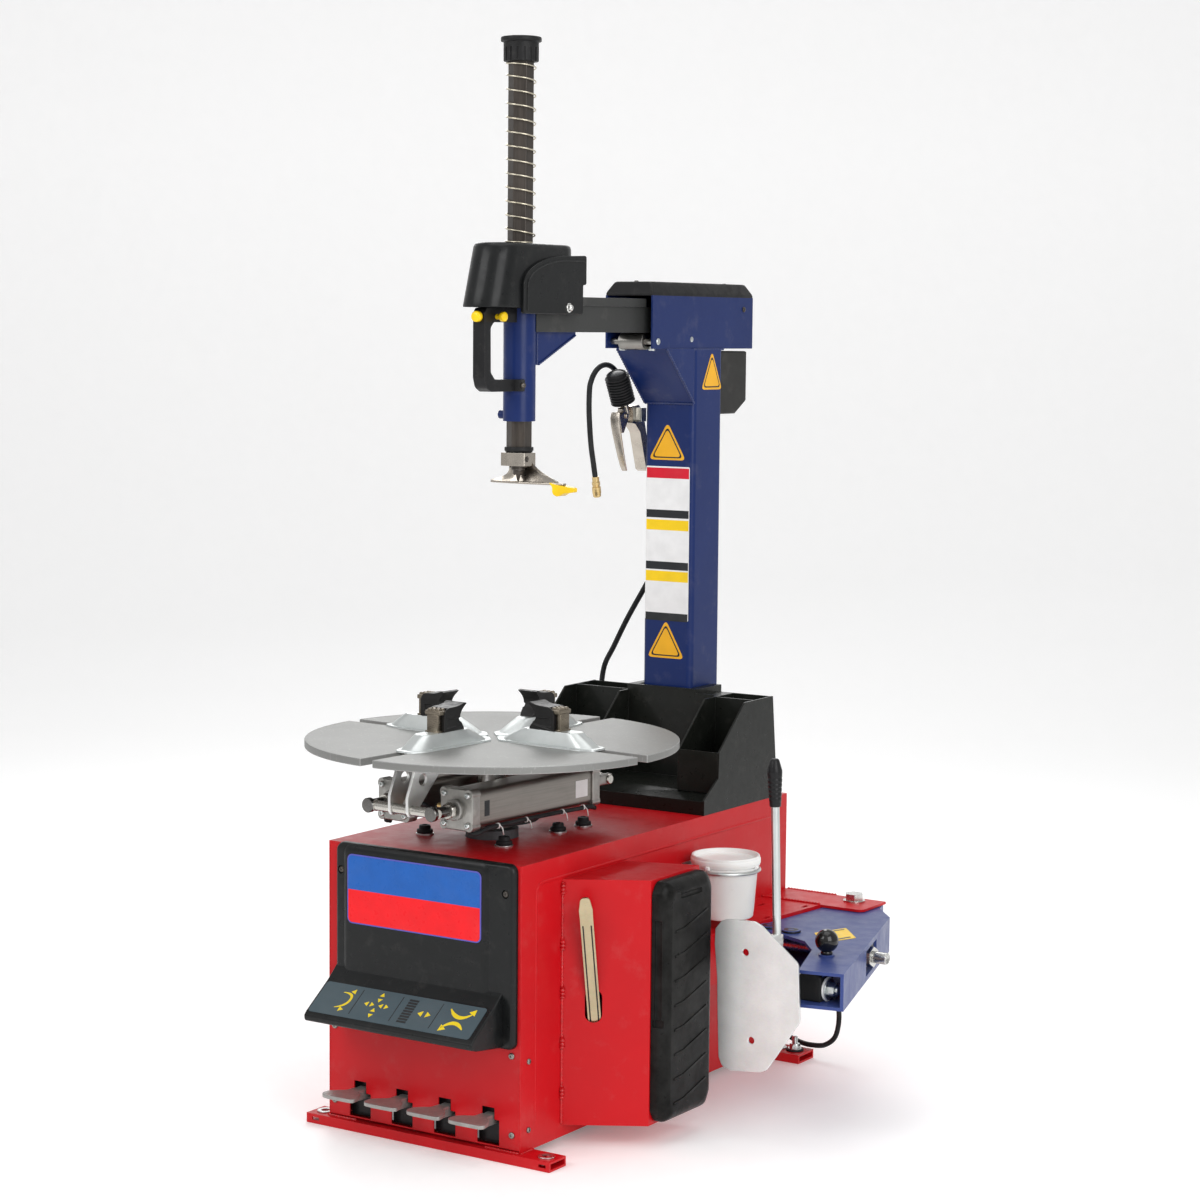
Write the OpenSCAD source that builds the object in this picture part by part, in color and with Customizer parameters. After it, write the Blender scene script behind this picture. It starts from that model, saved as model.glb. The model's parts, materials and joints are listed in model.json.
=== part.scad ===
// Tyre changer: tilting-column bench with a clamping turntable, a sliding
// mount-head arm and a swing-arm bead breaker.
// Origin on the floor under the turntable spindle, +X to the bead-breaker
// side, +Y to the column, +Z up. Millimetres.

/* [Cabinet] */
// Sheet thickness of the cabinet panels
sheet = 3; // [2:0.5:4]
// Anchor hole diameter in the base channels
anchor_d = 14; // [11:1:16]

/* [Turntable] */
// Radius of the turntable plate
table_r = 346; // [340:1:350]
// Thickness of the turntable plate
table_t = 14; // [12:1:14]
// Direction of the jaw slots, degrees
slot_turn = -4.3; // [-10:0.1:10]
// Width of the four jaw slots
slot_w = 28; // [27:1:32]

/* [Tool post] */
// Hexagon shaft size across flats
hex_af = 41; // [40:0.5:42]
// Clearance between the hexagon shaft and its guide, per side
hex_gap = 0.25; // [0.1:0.05:0.4]
// Outside diameter of the return spring
spring_od = 57; // [54:1:60]
// Number of turns in the return spring
spring_turns = 13.6; // [10:0.1:15]

/* [Column] */
// Width of the column tube
col_w = 116; // [112:1:118]
// Wall of the column tube
col_t = 4; // [3:0.5:5]

/* [Paste tub] */
// Radius of the tub at its rim
tub_r = 67; // [64:0.5:68]

/* [Detail] */
// Facets on round surfaces
facets = 72; // [48:4:96]

/* [Hidden] */
$fn = facets;

// Cabinet shell
side_x = 215;                   // half width
front_y = -212.5;
back_y = 732.5;
base_z = 18;                    // top of the base channels
top_z = 533;
inner_x = side_x - sheet;
inner_back_y = back_y - sheet;
top_cut = [529, 534];           // Z span of the cuts through the top

// Axes shared by several nodes; the pair gives the two fixed coordinates
tilt_pin = [664, 560];          // Y, Z
lever_l = 160;                  // tilt lever, from tilt pin to lever pin
lever_turn = 12.5;              // its lean from the vertical
lever_pin = tilt_pin + lever_l * [sin(lever_turn), -cos(lever_turn)];
tilt_axis = [0, lever_pin[1]];  // X, Z of the tilt cylinder
arm_pin = [389, 702];           // X, Y of the bead-breaker arm pin
rod_axis = [438, 297];          // Y, Z of the bead-breaker rod
trunnion = [90, rod_axis[0]];   // X, Y of its cylinder trunnion
gear_bolts = [[-109, -62], [78, -72], [80, 100], [84, 179]];   // X, Y
pedal_x = [-143, -47, 49, 145];
pedal_pin = [-120, 95];         // Y, Z
tub_axis = [290, 362];          // X, Y

// ---- helpers -------------------------------------------------------------
// Box between two opposite corners.
module box(from, to) {
  translate(from) cube([to[0] - from[0], to[1] - from[1], to[2] - from[2]]);
}
// Cylinders along one axis: span along it, then the other two coordinates.
module x_cyl(span, at, r) {
  translate([span[0], at[0], at[1]]) rotate([0, 90, 0]) cylinder(h = span[1] - span[0], r = r);
}
module y_cyl(span, at, r) {
  translate([at[0], span[1], at[1]]) rotate([90, 0, 0]) cylinder(h = span[1] - span[0], r = r);
}
module z_cyl(span, at, r) {
  translate([at[0], at[1], span[0]]) cylinder(h = span[1] - span[0], r = r);
}
// Extrusions along one axis; the profile is in (Y, Z), (X, Z) or (X, Y).
module extrude_x(span) {
  translate([span[0], 0, 0]) rotate([90, 0, 90]) linear_extrude(span[1] - span[0]) children();
}
module extrude_y(span) {
  translate([0, span[1], 0]) rotate([90, 0, 0]) linear_extrude(span[1] - span[0]) children();
}
module extrude_z(span) {
  translate([0, 0, span[0]]) linear_extrude(span[1] - span[0]) children();
}
// Straight length of round bar.
module bar(from, to, r) {
  run = to - from;
  length = norm(run);
  translate(from) rotate([0, acos(run[2] / length), atan2(run[1], run[0])])
    cylinder(h = length, r = r, $fn = 24);
}
// Span from near to far, on the + side or mirrored to the - side.
function on_side(side, near, far) = side > 0 ? [near, far] : [-far, -near];

// ---- cabinet and base ------------------------------------------------------
module cabinet() {
  color("#c8161e") difference() {
    union() {
      difference() {
        box([-side_x, front_y, base_z], [side_x, back_y, top_z]);
        box([-inner_x, front_y - 1.5, base_z - 1], [inner_x, inner_back_y, top_z - sheet]);
      }
      // cross member that carries the bead-breaker cylinder
      box([-inner_x, 398, 196], [inner_x, 478, 202]);
      // seat flanges along both sides
      box([-inner_x, -209, base_z], [-192, inner_back_y, 22]);
      box([192, -209, base_z], [inner_x, inner_back_y, 22]);
      // tilt pin brackets on the top
      for (side = [-1, 1]) extrude_x(on_side(side, 66, 74))
        polygon([[622, top_z], [706, top_z], [690, 588], [638, 588]]);
    }
    // opening for the column lever
    box([-62, 600, top_cut[0]], [62, inner_back_y, top_cut[1]]);
    // spindle neck
    z_cyl(top_cut, [0, 0], 50);
    // bead-breaker rod
    box([211, 418, 279], [216, 496, 315]);
    z_cyl([195, 203], trunnion, 8.1);
    x_cyl([-75, 75], tilt_pin, 12);
    for (bolt = gear_bolts) z_cyl(top_cut, bolt, 6);
  }
}

module front_panel() {
  color("#c8161e") difference() {
    box([-inner_x, front_y, 22], [inner_x, front_y + 3, 530]);
    // pedal openings, each with a narrower slot above
    for (x = pedal_x) {
      box([x - 24, -214, 25], [x + 24, -208, 71]);
      box([x - 13.5, -214, 70], [x + 13.5, -208, 92]);
    }
  }
}

channel_y = [-199, 681];        // centre lines, front and rear
channel_wall = 4;
// Rectangular tube along X, open at both ends.
module channel(x_span, y, width) {
  half = width / 2;
  difference() {
    box([x_span[0], y - half, 0], [x_span[1], y + half, base_z]);
    box([x_span[0] - 1, y - half + channel_wall, channel_wall],
      [x_span[1] + 1, y + half - channel_wall, base_z - channel_wall]);
  }
}
module base_channels() {
  color("#b5141b") difference() {
    union() {
      channel([-259, 286], channel_y[0], 52);
      channel([-259, 297], channel_y[1], 62);
      // flat tie strap between the channels, under the spindle
      box([-25, -200, 0], [25, 680, 4]);
    }
    for (x = [-235, 255]) z_cyl([-1, 19], [x, channel_y[0]], anchor_d / 2);
    for (x = [-235, 235]) z_cyl([-1, 19], [x, channel_y[1]], anchor_d / 2);
    // slots in the front face of the front channel
    for (x = [-246, 262]) box([x, -226, 6], [x + 16, -220, 12]);
  }
}

// Moulded cover on the front; outlines in (Y, Z).
fascia = [[-212.5, 204], [-212.5, 536], [-222, 536], [-226, 531], [-226, 204]];
fascia_hollow = [[-212, 207], [-212, 533], [-219, 533], [-223, 528], [-223, 207]];
console = [[-212.5, 310], [-226, 305], [-250, 283], [-312, 238],
  [-318, 232], [-316, 222], [-230, 208], [-212.5, 208]];
console_hollow = [[-212, 305], [-223, 302], [-250, 279], [-310, 235],
  [-313, 231], [-312, 226], [-230, 211], [-212, 211]];
module control_cover() {
  color("#26272b") difference() {
    union() {
      extrude_x([-190, 208]) polygon(fascia);
      extrude_x([-190, 184]) polygon(console);
      // raised rectangular field
      translate([-160, -226, 290]) rotate([90, 0, 0]) linear_extrude(4) square([306, 234]);
    }
    extrude_x([-187, 205]) polygon(fascia_hollow);
    extrude_x([-187, 181]) polygon(console_hollow);
    for (hole = [[187, 484], [-180, 485]]) y_cyl([-230, -222], hole, 3);
  }
}

// Slanted front face of the side bracket, from the cabinet outwards (X, Y)
face_start = [side_x, -85];
face_end = [350, -2];
face_turn = atan2(face_end[1] - face_start[1], face_end[0] - face_start[0]);
// Places children at the lever slot, +X along the face and +Y into the bracket.
module at_lever_slot() {
  translate([face_start[0], face_start[1], 259.5]) rotate([0, 0, face_turn])
    translate([57.5, 0, 0]) children();
}

// Tapered box that carries the rubber pad; the tyre lever hangs in its slot.
module side_bracket() {
  slot_r = 15.5;
  slot_half = 15;               // half the distance between the slot's end centres
  color("#c8161e") difference() {
    extrude_z([40, 490]) polygon([face_start, face_end, [347, 170], [215, 125]]);
    extrude_z([43, 487]) polygon([[214, -82], [347, 0], [344, 166.5], [214, 122]]);
    at_lever_slot() extrude_y([-4, 8]) union() {
      translate([0, slot_half]) circle(r = slot_r);
      translate([0, -slot_half]) circle(r = slot_r);
      translate([-slot_r, -slot_half]) square([2 * slot_r, 2 * slot_half]);
    }
  }
}

module bumper_pad() {
  corner_r = 16;
  y_span = [0, 170];
  z_span = [61, 470];
  color("#222324") difference() {
    union() {
      box([350, y_span[0], z_span[0]], [384, y_span[1], z_span[1]]);
      box([350, 16, z_span[0] - corner_r], [384, 154, z_span[1] + corner_r]);
      for (y = [16, 154], z = z_span) x_cyl([350, 384], [y, z], corner_r);
    }
    // slanted grooves in the contact face
    for (i = [0:8]) translate([381.5, 85, 85 + i * 45]) rotate([32, 0, 0])
      box([0, -140, -1.5], [4, 140, 1.5]);
    // recess on the front edge
    box([358, -1, 150], [372, 8, 320]);
  }
}

// Side box of the bead breaker, with the two flange plates of the arm pin.
module breaker_shelf() {
  color("#c8161e") difference() {
    union() {
      difference() {
        extrude_z([238, 336]) polygon([[215, 214], [312, 256], [350, 634], [215, 634]]);
        extrude_z([241, 333]) polygon([[214, 217], [309.5, 258.5], [347, 631], [214, 631]]);
      }
      // flange plates
      for (z = [[331, 336], [254, 259]]) {
        box([side_x, 634, z[0]], [430, 735, z[1]]);
        box([429, 648, z[0]], [443, 735, z[1]]);
        z_cyl(z, [429, 648], 14);
      }
      // gusset between cabinet and flanges
      box([side_x, 729, 259], [330, 735, 331]);
    }
    z_cyl([250, 340], arm_pin, 12);
    // rod passage
    box([300, 414, 279], [360, 536, 315]);
    // slotted holes on top
    for (slot = [[254, 566], [333, 600], [322, 467]])
      box([slot[0] - 4, slot[1] - 11, 330], [slot[0] + 4, slot[1] + 11, 337]);
  }
}

module tub_ring() {
  ring_r = tub_r - 2;
  wire_r = 3;
  ring_z = 446;
  arm_dy = 30;                  // each arm's offset from the ring centre
  color("#b8b9b6") union() {
    translate([tub_axis[0], tub_axis[1], ring_z]) rotate_extrude()
      translate([ring_r, 0]) circle(r = wire_r, $fn = 24);
    // two arms back to the cabinet side
    arm_end = tub_axis[0] - sqrt(pow(ring_r, 2) - pow(arm_dy, 2)) + 1;
    for (y = tub_axis[1] + arm_dy * [-1, 1][0] * [1, -1][0] == 0 ? [] : [332, 392])
      bar([side_x, y, ring_z], [arm_end, y, ring_z], wire_r);
    box([side_x, 324, 438], [218, 400, 454]);
  }
}

// Moulded tool tray around the foot of the column, open to the rear.
// Outlines in (Y, Z).
tray_side = [[412, 533], [405, 536], [405, 562], [410, 566], [458, 599],
  [460, 649], [557, 738], [669, 739], [692, 533]];
tray_floor = [[405, 533], [410, 533], [410, 540], [470, 566],
  [594, 566], [594, 570], [468, 570], [405, 544]];
tray_divider = [[458, 568], [460, 649], [557, 738], [669, 738], [676, 568]];
module tool_tray() {
  color("#232425") difference() {
    union() {
      extrude_x([-215, -211]) polygon(tray_side);
      extrude_x([211, 215]) polygon(tray_side);
      // front lip
      box([-215, 405, 533], [215, 410, 560]);
      extrude_x([-211, 211]) polygon(tray_floor);
      // dividers beside the column recess
      for (x = [-82, 120]) extrude_x([x, x + 4]) polygon(tray_divider);
      // side compartments: front, two cross walls and shelf
      for (bay = [[-211, -82], [124, 211]]) {
        extrude_x(bay) polygon([[458, 568], [462, 568], [464, 649], [460, 649]]);
        for (y = [596, 668]) box([bay[0], y, 568], [bay[1], y + 4, 738]);
        box([bay[0], 464, 600], [bay[1], 668, 604]);
      }
      // rear floors of the side bays
      for (bay = [[-211, -82], [82, 211]]) box([bay[0], 594, 566], [bay[1], 678, 570]);
      // recess wall in front of the column, its two sides and the right top
      box([-78, 590, 568], [120, 594, 742]);
      box([78, 594, 568], [82, 690, 742]);
      box([-82, 594, 568], [-78, 690, 742]);
      box([78, 590, 734], [124, 672, 738]);
      // collar rim
      box([-74, 590, 738], [74, 600, 750]);
      box([62, 590, 738], [82, 690, 750]);
      box([-82, 590, 738], [-62, 690, 750]);
    }
    // clearance for the column and for the cabinet top
    box([-61, 603, 530], [61, 740, 760]);
    box([-78, 594.5, 530], [78, 740, 600]);
    box([-216, 405, 500], [216, 700, 533]);
  }
}

// Rubber-capped bolts that hold the gearbox, and the levelling stud.
module bolt_caps() {
  for (bolt = gear_bolts) {
    color("#b9bab8") z_cyl([533, 536], bolt, 17);
    color("#1f1f20") z_cyl([536, 543], bolt, 15);
    color("#1f1f20") z_cyl([543, 551], bolt, 11);
    color("#8c8c8a") z_cyl([522, 533], bolt, 5);
  }
  stud = [271, channel_y[1]];
  color("#8f8f8d") {
    z_cyl([26, 48], stud, 6);
    z_cyl([22, 26], stud, 13);
  }
  color("#1f1f20") z_cyl([18, 22], stud, 18);
}

// ---- drive -----------------------------------------------------------------
worm_axis = [-96, 462];         // X, Z
motor_axis = [-120, 250];       // X, Z
worm_pulley_r = 58;
motor_pulley_r = 30;
belt_y = [-152, -138];

module gearbox() {
  color("#5a5d60") difference() {
    union() {
      z_cyl([428, 518], [0, 0], 112);
      z_cyl([518, 530], [0, 0], 128);
      z_cyl([530, 549], [0, 0], 49);
      y_cyl([-125, 60], worm_axis, 34);
    }
    z_cyl([436, 506], [0, 0], 92);
    z_cyl([500, 550], [0, 0], 28.4);
    y_cyl([-126, 40], worm_axis, 14.3);
    // the fourth bolt lies outside the flange
    for (i = [0:2]) z_cyl([520, 531], gear_bolts[i], 6);
  }
}

module motor() {
  color("#4f6f8a") difference() {
    union() {
      y_cyl([-118, 110], motor_axis, 66);
      // feet to the side wall of the cabinet
      for (z = [218, 274]) box([-inner_x, -90, z], [-170, 80, z + 8]);
      // block on top
      box([-110, -60, 290], [-80, -20, 326]);
      // cooling ribs
      for (y = [-60:16:60]) y_cyl([y, y + 4], motor_axis, 70);
    }
    y_cyl([-119, 60], motor_axis, 11);
  }
}

// Belt path at a given height above the pulley rims.
module belt_loop(height) {
  hull() {
    translate(worm_axis) circle(r = worm_pulley_r + height);
    translate(motor_axis) circle(r = motor_pulley_r + height);
  }
}
module drive_belt() {
  color("#191919") extrude_y(belt_y) difference() {
    belt_loop(6.5);
    belt_loop(0.6);
  }
}
// Flanged pulley with its shaft running back to shaft_end.
module pulley(axis, r, shaft_end, shaft_r) {
  union() {
    y_cyl(belt_y, axis, r);
    for (y = [belt_y[0] - 2, belt_y[1]]) y_cyl([y, y + 2], axis, r + 6);
    y_cyl([belt_y[1], shaft_end], axis, shaft_r);
  }
}
module motor_pulley() {
  color("#9b9c9b") pulley(motor_axis, motor_pulley_r, shaft_end = 50, shaft_r = 9.5);
}
module gearbox_pulley() {
  color("#9b9c9b") pulley(worm_axis, worm_pulley_r, shaft_end = 35, shaft_r = 12);
}

// Tilt pin, bead-breaker arm pin and the pedal shaft with its brackets.
module pivot_pins() {
  color("#c9c9c6") {
    x_cyl([-77, 77], tilt_pin, 12);
    for (side = [-1, 1]) x_cyl(on_side(side, 74, 77), tilt_pin, 16);
    // arm pin: washer and hexagon head on top, collar below
    z_cyl([244, 336], arm_pin, 12);
    z_cyl([236, 254], arm_pin, 18);
    z_cyl([336, 339], arm_pin, 22);
    z_cyl([339, 352], arm_pin, 19, $fn = 6);
    // pedal shaft
    x_cyl([-205, 205], pedal_pin, 8);
    for (x = [-211, 205]) box([x, pedal_pin[0] - 20, 22], [x + 6, pedal_pin[0] + 20, 115]);
    // valve block behind the pedals
    box([-200, -80, 22], [200, -20, 66]);
    for (x = pedal_x) z_cyl([66, 78], [x, -50], 7);
  }
}

module tilt_cylinder() {
  color("#b9bcbd") difference() {
    union() {
      y_cyl([330, 560], tilt_axis, 32);
      // hangers under the cabinet top
      for (y = [340, 540]) box([-30, y, tilt_axis[1]], [30, y + 10, 530]);
    }
    y_cyl([342, 548], tilt_axis, 28);
    y_cyl([540, 561], tilt_axis, 10.3);
  }
}
module tilt_rod() {
  slot_r = 8.6;
  slot_half = 5;
  y = lever_pin[0];
  z = lever_pin[1];
  color("#d4d4d2") difference() {
    union() {
      y_cyl([520, 690], tilt_axis, 10);
      y_cyl([505, 522], tilt_axis, 27.6);
      box([-20, 676, z - 21], [20, y + 14, z + 21]);
    }
    // vertical slot that the lever pin works in
    for (dz = [-slot_half, slot_half]) x_cyl([-21, 21], [y, z + dz], slot_r);
    box([-21, y - slot_r, z - slot_half], [21, y + slot_r, z + slot_half]);
  }
}

// ---- column ----------------------------------------------------------------
col_y = 663.75;                 // centre of the tube
col_depth = 112.5;
col_corner_r = 12;
col_foot_z = 548;
col_top_z = 1432;
// Arm rollers: axis (Y, Z), roller radius, axle radius
rollers = [[[474, 1446], 16.5, 6], [[600, 1450.5], 12, 5]];

module column_tube() {
  flat_w = col_w - 2 * col_corner_r;
  flat_depth = col_depth - 2 * col_corner_r;
  lever = [[618, 690], [709, 690], [709, 552], lever_pin + [15, 0], lever_pin - [15, 0],
    [640, 548], [618, 560]];
  color("#1f3a8a") difference() {
    union() {
      translate([0, col_y, col_foot_z]) linear_extrude(col_top_z - col_foot_z) difference() {
        union() {
          square([flat_w, col_depth], center = true);
          square([col_w, flat_depth], center = true);
          for (x = [-1, 1], y = [-1, 1])
            translate([x * flat_w / 2, y * flat_depth / 2]) circle(r = col_corner_r);
        }
        square([col_w - 2 * col_t, col_depth - 2 * col_t], center = true);
      }
      // tilt lever, two plates inside the tube foot
      for (side = [-1, 1]) {
        extrude_x(on_side(side, 46, 54)) polygon(lever);
        x_cyl(on_side(side, 46, 54), lever_pin, 15);
      }
      x_cyl([-46, 46], lever_pin, 8);
    }
    x_cyl([-60, 60], tilt_pin, 12.1);
  }
}

// Welded head: open box for the arm, and the knee gusset under it.
module head_box() {
  color("#1f3a8a") difference() {
    union() {
      box([-55, 454.5, col_top_z], [55, 843, 1536]);
      extrude_x([-58, 58]) polygon([[501, col_top_z], [607.5, col_top_z], [607.5, 1322]]);
    }
    box([-51, 454, col_top_z + 4], [51, 839, 1537]);
    box([-51, 453, col_top_z - 1], [51, 494, col_top_z + 5]);
    for (roller = rollers) x_cyl([-56, 56], roller[0], roller[2]);
  }
}
module head_cap() {
  color("#2b2c2e") hull() {
    box([-55, 454.5, 1536], [55, 843, 1538]);
    box([-43, 466, 1561], [43, 831, 1563]);
  }
}
module valve_box() {
  color("#3a3c40") difference() {
    extrude_x([-50, 50])
      polygon([[720, 1427], [720, 1299], [786, 1299], [830, 1325], [830, 1427]]);
    extrude_x([-48, 48])
      polygon([[722, 1425], [722, 1301], [785, 1301], [828, 1326.5], [828, 1425]]);
  }
}
module arm_rollers() {
  color("#a7a7a4") for (roller = rollers) {
    x_cyl([-28, 28], roller[0], roller[1]);
    x_cyl([-55, 55], roller[0], roller[2]);
  }
}

// Tyre inflator gun hung on the left of the column; outlines in (Y, Z).
inflator_x = -84;
trigger_pin = [563, 1296];      // Y, Z
gun_body = [[556, 1312], [606, 1318], [624, 1300], [655, 1190], [648, 1180],
  [636, 1186], [612, 1262], [592, 1280], [560, 1284]];
trigger_cheek = [[563, 1305], [552, 1302], [540, 1292], [548, 1262], [556, 1262]];
trigger_blade = [[540, 1300], [549, 1270], [560, 1240], [568, 1215], [577, 1186], [572, 1183],
  [564, 1200], [552, 1228], [543, 1252], [535, 1284], [534, 1296]];
module inflator() {
  color("#8d877c") translate([inflator_x, 0, 0]) difference() {
    union() {
      extrude_x([-13, 13]) polygon(gun_body);
      // hook on the column side
      box([13, 596, 1284], [26, 614, 1312]);
      bar([0, 577, 1305], [0, 566, 1328], 8);
    }
    // recesses for the trigger cheeks
    for (side = [-1, 1]) x_cyl(on_side(side, 6.6, 20), trigger_pin, 22);
  }
  // ribbed rubber boot of the gauge
  color("#1c1c1c") translate([inflator_x, 568, 1322]) rotate([26, 0, 0]) union() {
    cylinder(h = 62, r = 22);
    for (i = [0:8]) translate([0, 0, 1 + i * 6.4]) cylinder(h = 3.4, r = 25);
    translate([0, 0, 62]) cylinder(h = 5, r = 19);
  }
}
module inflator_trigger() {
  color("#99937f") translate([inflator_x, 0, 0]) union() {
    for (side = [-1, 1]) x_cyl(on_side(side, 6.8, 11), trigger_pin, 9);
    // cheeks joined by the finger blade in front of the body
    for (side = [-1, 1]) extrude_x(on_side(side, 7, 11)) polygon(trigger_cheek);
    extrude_x([-11, 11]) polygon(trigger_blade);
  }
}
module air_hose() {
  x = -115;
  arch_y = 549;
  arch_r = 60;
  front = arch_y - arch_r;
  rear = arch_y + arch_r;
  // arch over the gauge, run down to the chuck, union into the gun
  color("#1d1e1f") translate([x, arch_y, 1338]) rotate([0, 90, 0]) rotate([0, 0, 90])
    rotate_extrude(angle = 180) translate([arch_r, 0]) circle(r = 5.5, $fn = 24);
  color("#1d1e1f") for (y = [front, rear]) z_cyl([1330, 1342], [x, y], 7);
  color("#1d1e1f") bar([x, front, 1334], [x, 517, 1164], 5.4);
  color("#1d1e1f") bar([x, rear, 1334], [x, 612, 1302], 5.4);
  color("#8d877c") bar([x - 7, 612, 1302], [-97, 612, 1302], 8);
  color("#a59a86") bar([x, 516, 1168], [x, 522, 1132], 9);
}

// ---- sliding arm -------------------------------------------------------------
post = [0, 80];                 // X, Y of the tool post axis
guide_r = 30;                   // outside of the guide tube
button_axis = [-11, 1490];      // Y, Z
hex_corner = hex_af / 2 / cos(30);
hex_bore = (hex_af / 2 + hex_gap) / cos(30);

// Hexagonal bar on the tool post axis; r is its corner radius.
module hex_bar(span, r) {
  translate([post[0], post[1], span[0]]) rotate([0, 0, 30])
    cylinder(h = span[1] - span[0], r = r, $fn = 6);
}

module arm_tube() {
  color("#3c3e42") difference() {
    union() {
      box([-30, 92, 1463], [30, 630, 1513]);
      box([-35, 228, 1513], [35, 462, 1529]);
    }
    box([-26, 100, 1467], [26, 631, 1509]);
    box([-31, 229, 1512], [-29, 463, 1525]);
    z_cyl([1460, 1530], post, guide_r);
  }
}
module guide_tube() {
  color("#1f3a8a") difference() {
    union() {
      z_cyl([1298.6, 1506], post, guide_r);
      // web under the arm
      extrude_x([-20, 20])
        polygon([[100, 1402], [112, 1402], [236, 1458], [236, 1463], [100, 1463]]);
      // stop screw boss
      x_cyl([-43, -26], [post[1], 1310], 8);
    }
    hex_bar([1290, 1510], hex_bore);
  }
}
// Disc 2 mm thick at the given centre, a corner of the housing hulls.
module housing_disc(y, z, r) {
  translate([0, y, z]) cylinder(h = 2, r = r, $fn = 32);
}
// Moulded cover on the front of the arm, with its two quarter-round side plates.
module post_housing() {
  plate = concat([[19, 1496], [19, 1547]],
    [for (a = [180:-10:90]) [166 + 147 * cos(a), 1547 + 57 * sin(a)]],
    [[225, 1606], [225, 1551], [214, 1551], [214, 1496]]);
  color("#1e1f20") difference() {
    union() {
      hull() {
        for (y = [-21, 168]) housing_disc(y, 1507, 46);
        for (y = [12, 168]) housing_disc(y, 1622, 45);
      }
      extrude_x([44, 52]) polygon(plate);
      extrude_x([-52, -44]) polygon(plate);
    }
    hull() {
      for (y = [-21, 168]) housing_disc(y, 1495, 43);
      for (y = [12, 168]) housing_disc(y, 1618, 41.5);
    }
    z_cyl([1610, 1626], post, 25.5);
    box([-41, 100, 1495], [41, 230, 1530]);
  }
}
module handle() {
  grip = [[-57, 1372], [-51, 1357], [-38, 1354], [60, 1354], [60, 1376], [-28, 1376],
    [-37, 1386], [-37, 1472], [-30, 1479], [60, 1479], [60, 1506], [-52, 1506], [-57, 1498]];
  color("#17181a") difference() {
    union() {
      extrude_x([-18, 18]) polygon(grip);
      // strap round the guide tube
      intersection() {
        z_cyl([1354, 1376], post, 35);
        box([-36, 44, 1350], [36, 92, 1380]);
      }
    }
    z_cyl([1350, 1510], post, guide_r);
    x_cyl([-19, 19], button_axis, 5.2);
  }
}
module lock_button() {
  color("#f2c518") union() {
    x_cyl([-31, 31], button_axis, 5);
    for (side = [-1, 1]) x_cyl(on_side(side, 23, 33), button_axis, 9);
  }
}

// ---- tool post ---------------------------------------------------------------
module hex_shaft() {
  color("#3b3733") hex_bar([1225, 1990], hex_corner);
}
module shaft_cap() {
  color("#222324") difference() {
    union() {
      z_cyl([1954, 1990], post, 32.5);
      z_cyl([1990, 1999], post, 37.5);
    }
    hex_bar([1950, 1990], hex_corner);
    // grip flutes
    for (a = [0:22.5:359]) translate([post[0], post[1], 0]) rotate([0, 0, a])
      box([29.5, -2, 1953], [34, 2, 1978]);
  }
}

// Return spring: a twisted extrusion of the wire's crescent-shaped level section.
coil_r = spring_od / 2 - 1.5;   // to the wire centre
wire_half = 1.45;               // half the wire's radial thickness
wire_arc = 21;                  // half the angle the section covers
// Point on the section at angle a, on its outer (+1) or inner (-1) edge.
function wire_point(a, edge) =
  let (taper = sqrt(max(0, 1 - pow(a / (wire_arc + 0.6), 2))))
  (coil_r + edge * wire_half * taper) * [cos(a), sin(a)];
module post_spring() {
  section = concat([for (a = [-wire_arc:14:wire_arc]) wire_point(a, 1)],
    [for (a = [wire_arc:-14:-wire_arc]) wire_point(a, -1)]);
  color("#b7ad93") translate([post[0], post[1], 1624.5])
    linear_extrude(height = 329, twist = -360 * spring_turns,
      slices = round(spring_turns * 20), $fn = 8) polygon(section);
}

// Duck head: socket block, neck and curved foot.
module mount_head() {
  color("#8f8d88") difference() {
    union() {
      z_cyl([1240, 1251], post, 27);
      box([post[0] - 26, post[1] - 24, 1222], [post[0] + 26, post[1] + 24, 1242]);
      hull() {
        box([-22, 62, 1216], [22, 98, 1222]);
        box([-40, 70, 1190], [52, 92, 1193]);
      }
      hull() {
        box([-66, 70, 1183], [20, 80, 1187]);
        box([-40, 60, 1184], [52, 100, 1193]);
      }
      hull() {
        box([20, 68, 1183], [106, 88, 1188]);
        box([10, 60, 1184], [52, 100, 1193]);
      }
    }
    hex_bar([1225, 1260], hex_corner);
  }
  color("#222324") z_cyl([1172, 1183], post, 9);
}
module head_insert() {
  color("#f2c518") hull() {
    box([84, 66, 1176], [104, 92, 1183]);
    box([90, 70, 1163], [126, 86, 1170]);
    box([100, 70, 1176], [127, 86, 1179]);
  }
}

// ---- turntable ----------------------------------------------------------------
table_z = 717;                  // top of the plate
slot_start = 55;                // radius of the slots' inner end centres
clamp_z = 616;                  // height of the clamp cylinders
clamp_y = 74.5;                 // their offset to either side
cross_rod = [250, clamp_z];     // X, Z in the jaw frame
cross_span = [-85.5, 85.5];

module turntable_plate() {
  color("#b9bbb3") difference() {
    z_cyl([table_z - table_t, table_z], [0, 0], table_r);
    rotate([0, 0, slot_turn]) for (a = [0:90:270]) rotate([0, 0, a]) {
      box([slot_start, -slot_w / 2, 690], [400, slot_w / 2, 720]);
      z_cyl([690, 720], [slot_start, 0], slot_w / 2);
    }
  }
}
module turntable_spindle() {
  color("#8b8d8c") union() {
    z_cyl([442, 697], [0, 0], 28);
    z_cyl([697, 703], [0, 0], 40);
    // worm wheel
    z_cyl([462, 498], [0, 0], 60);
  }
  // air coupling with its wide flange
  color("#1f2022") {
    z_cyl([560, 576], [0, 0], 50);
    z_cyl([565, 571], [0, 0], 87);
  }
  color("#9a9c9b") z_cyl([551, 560], [0, 0], 38);
}

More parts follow.
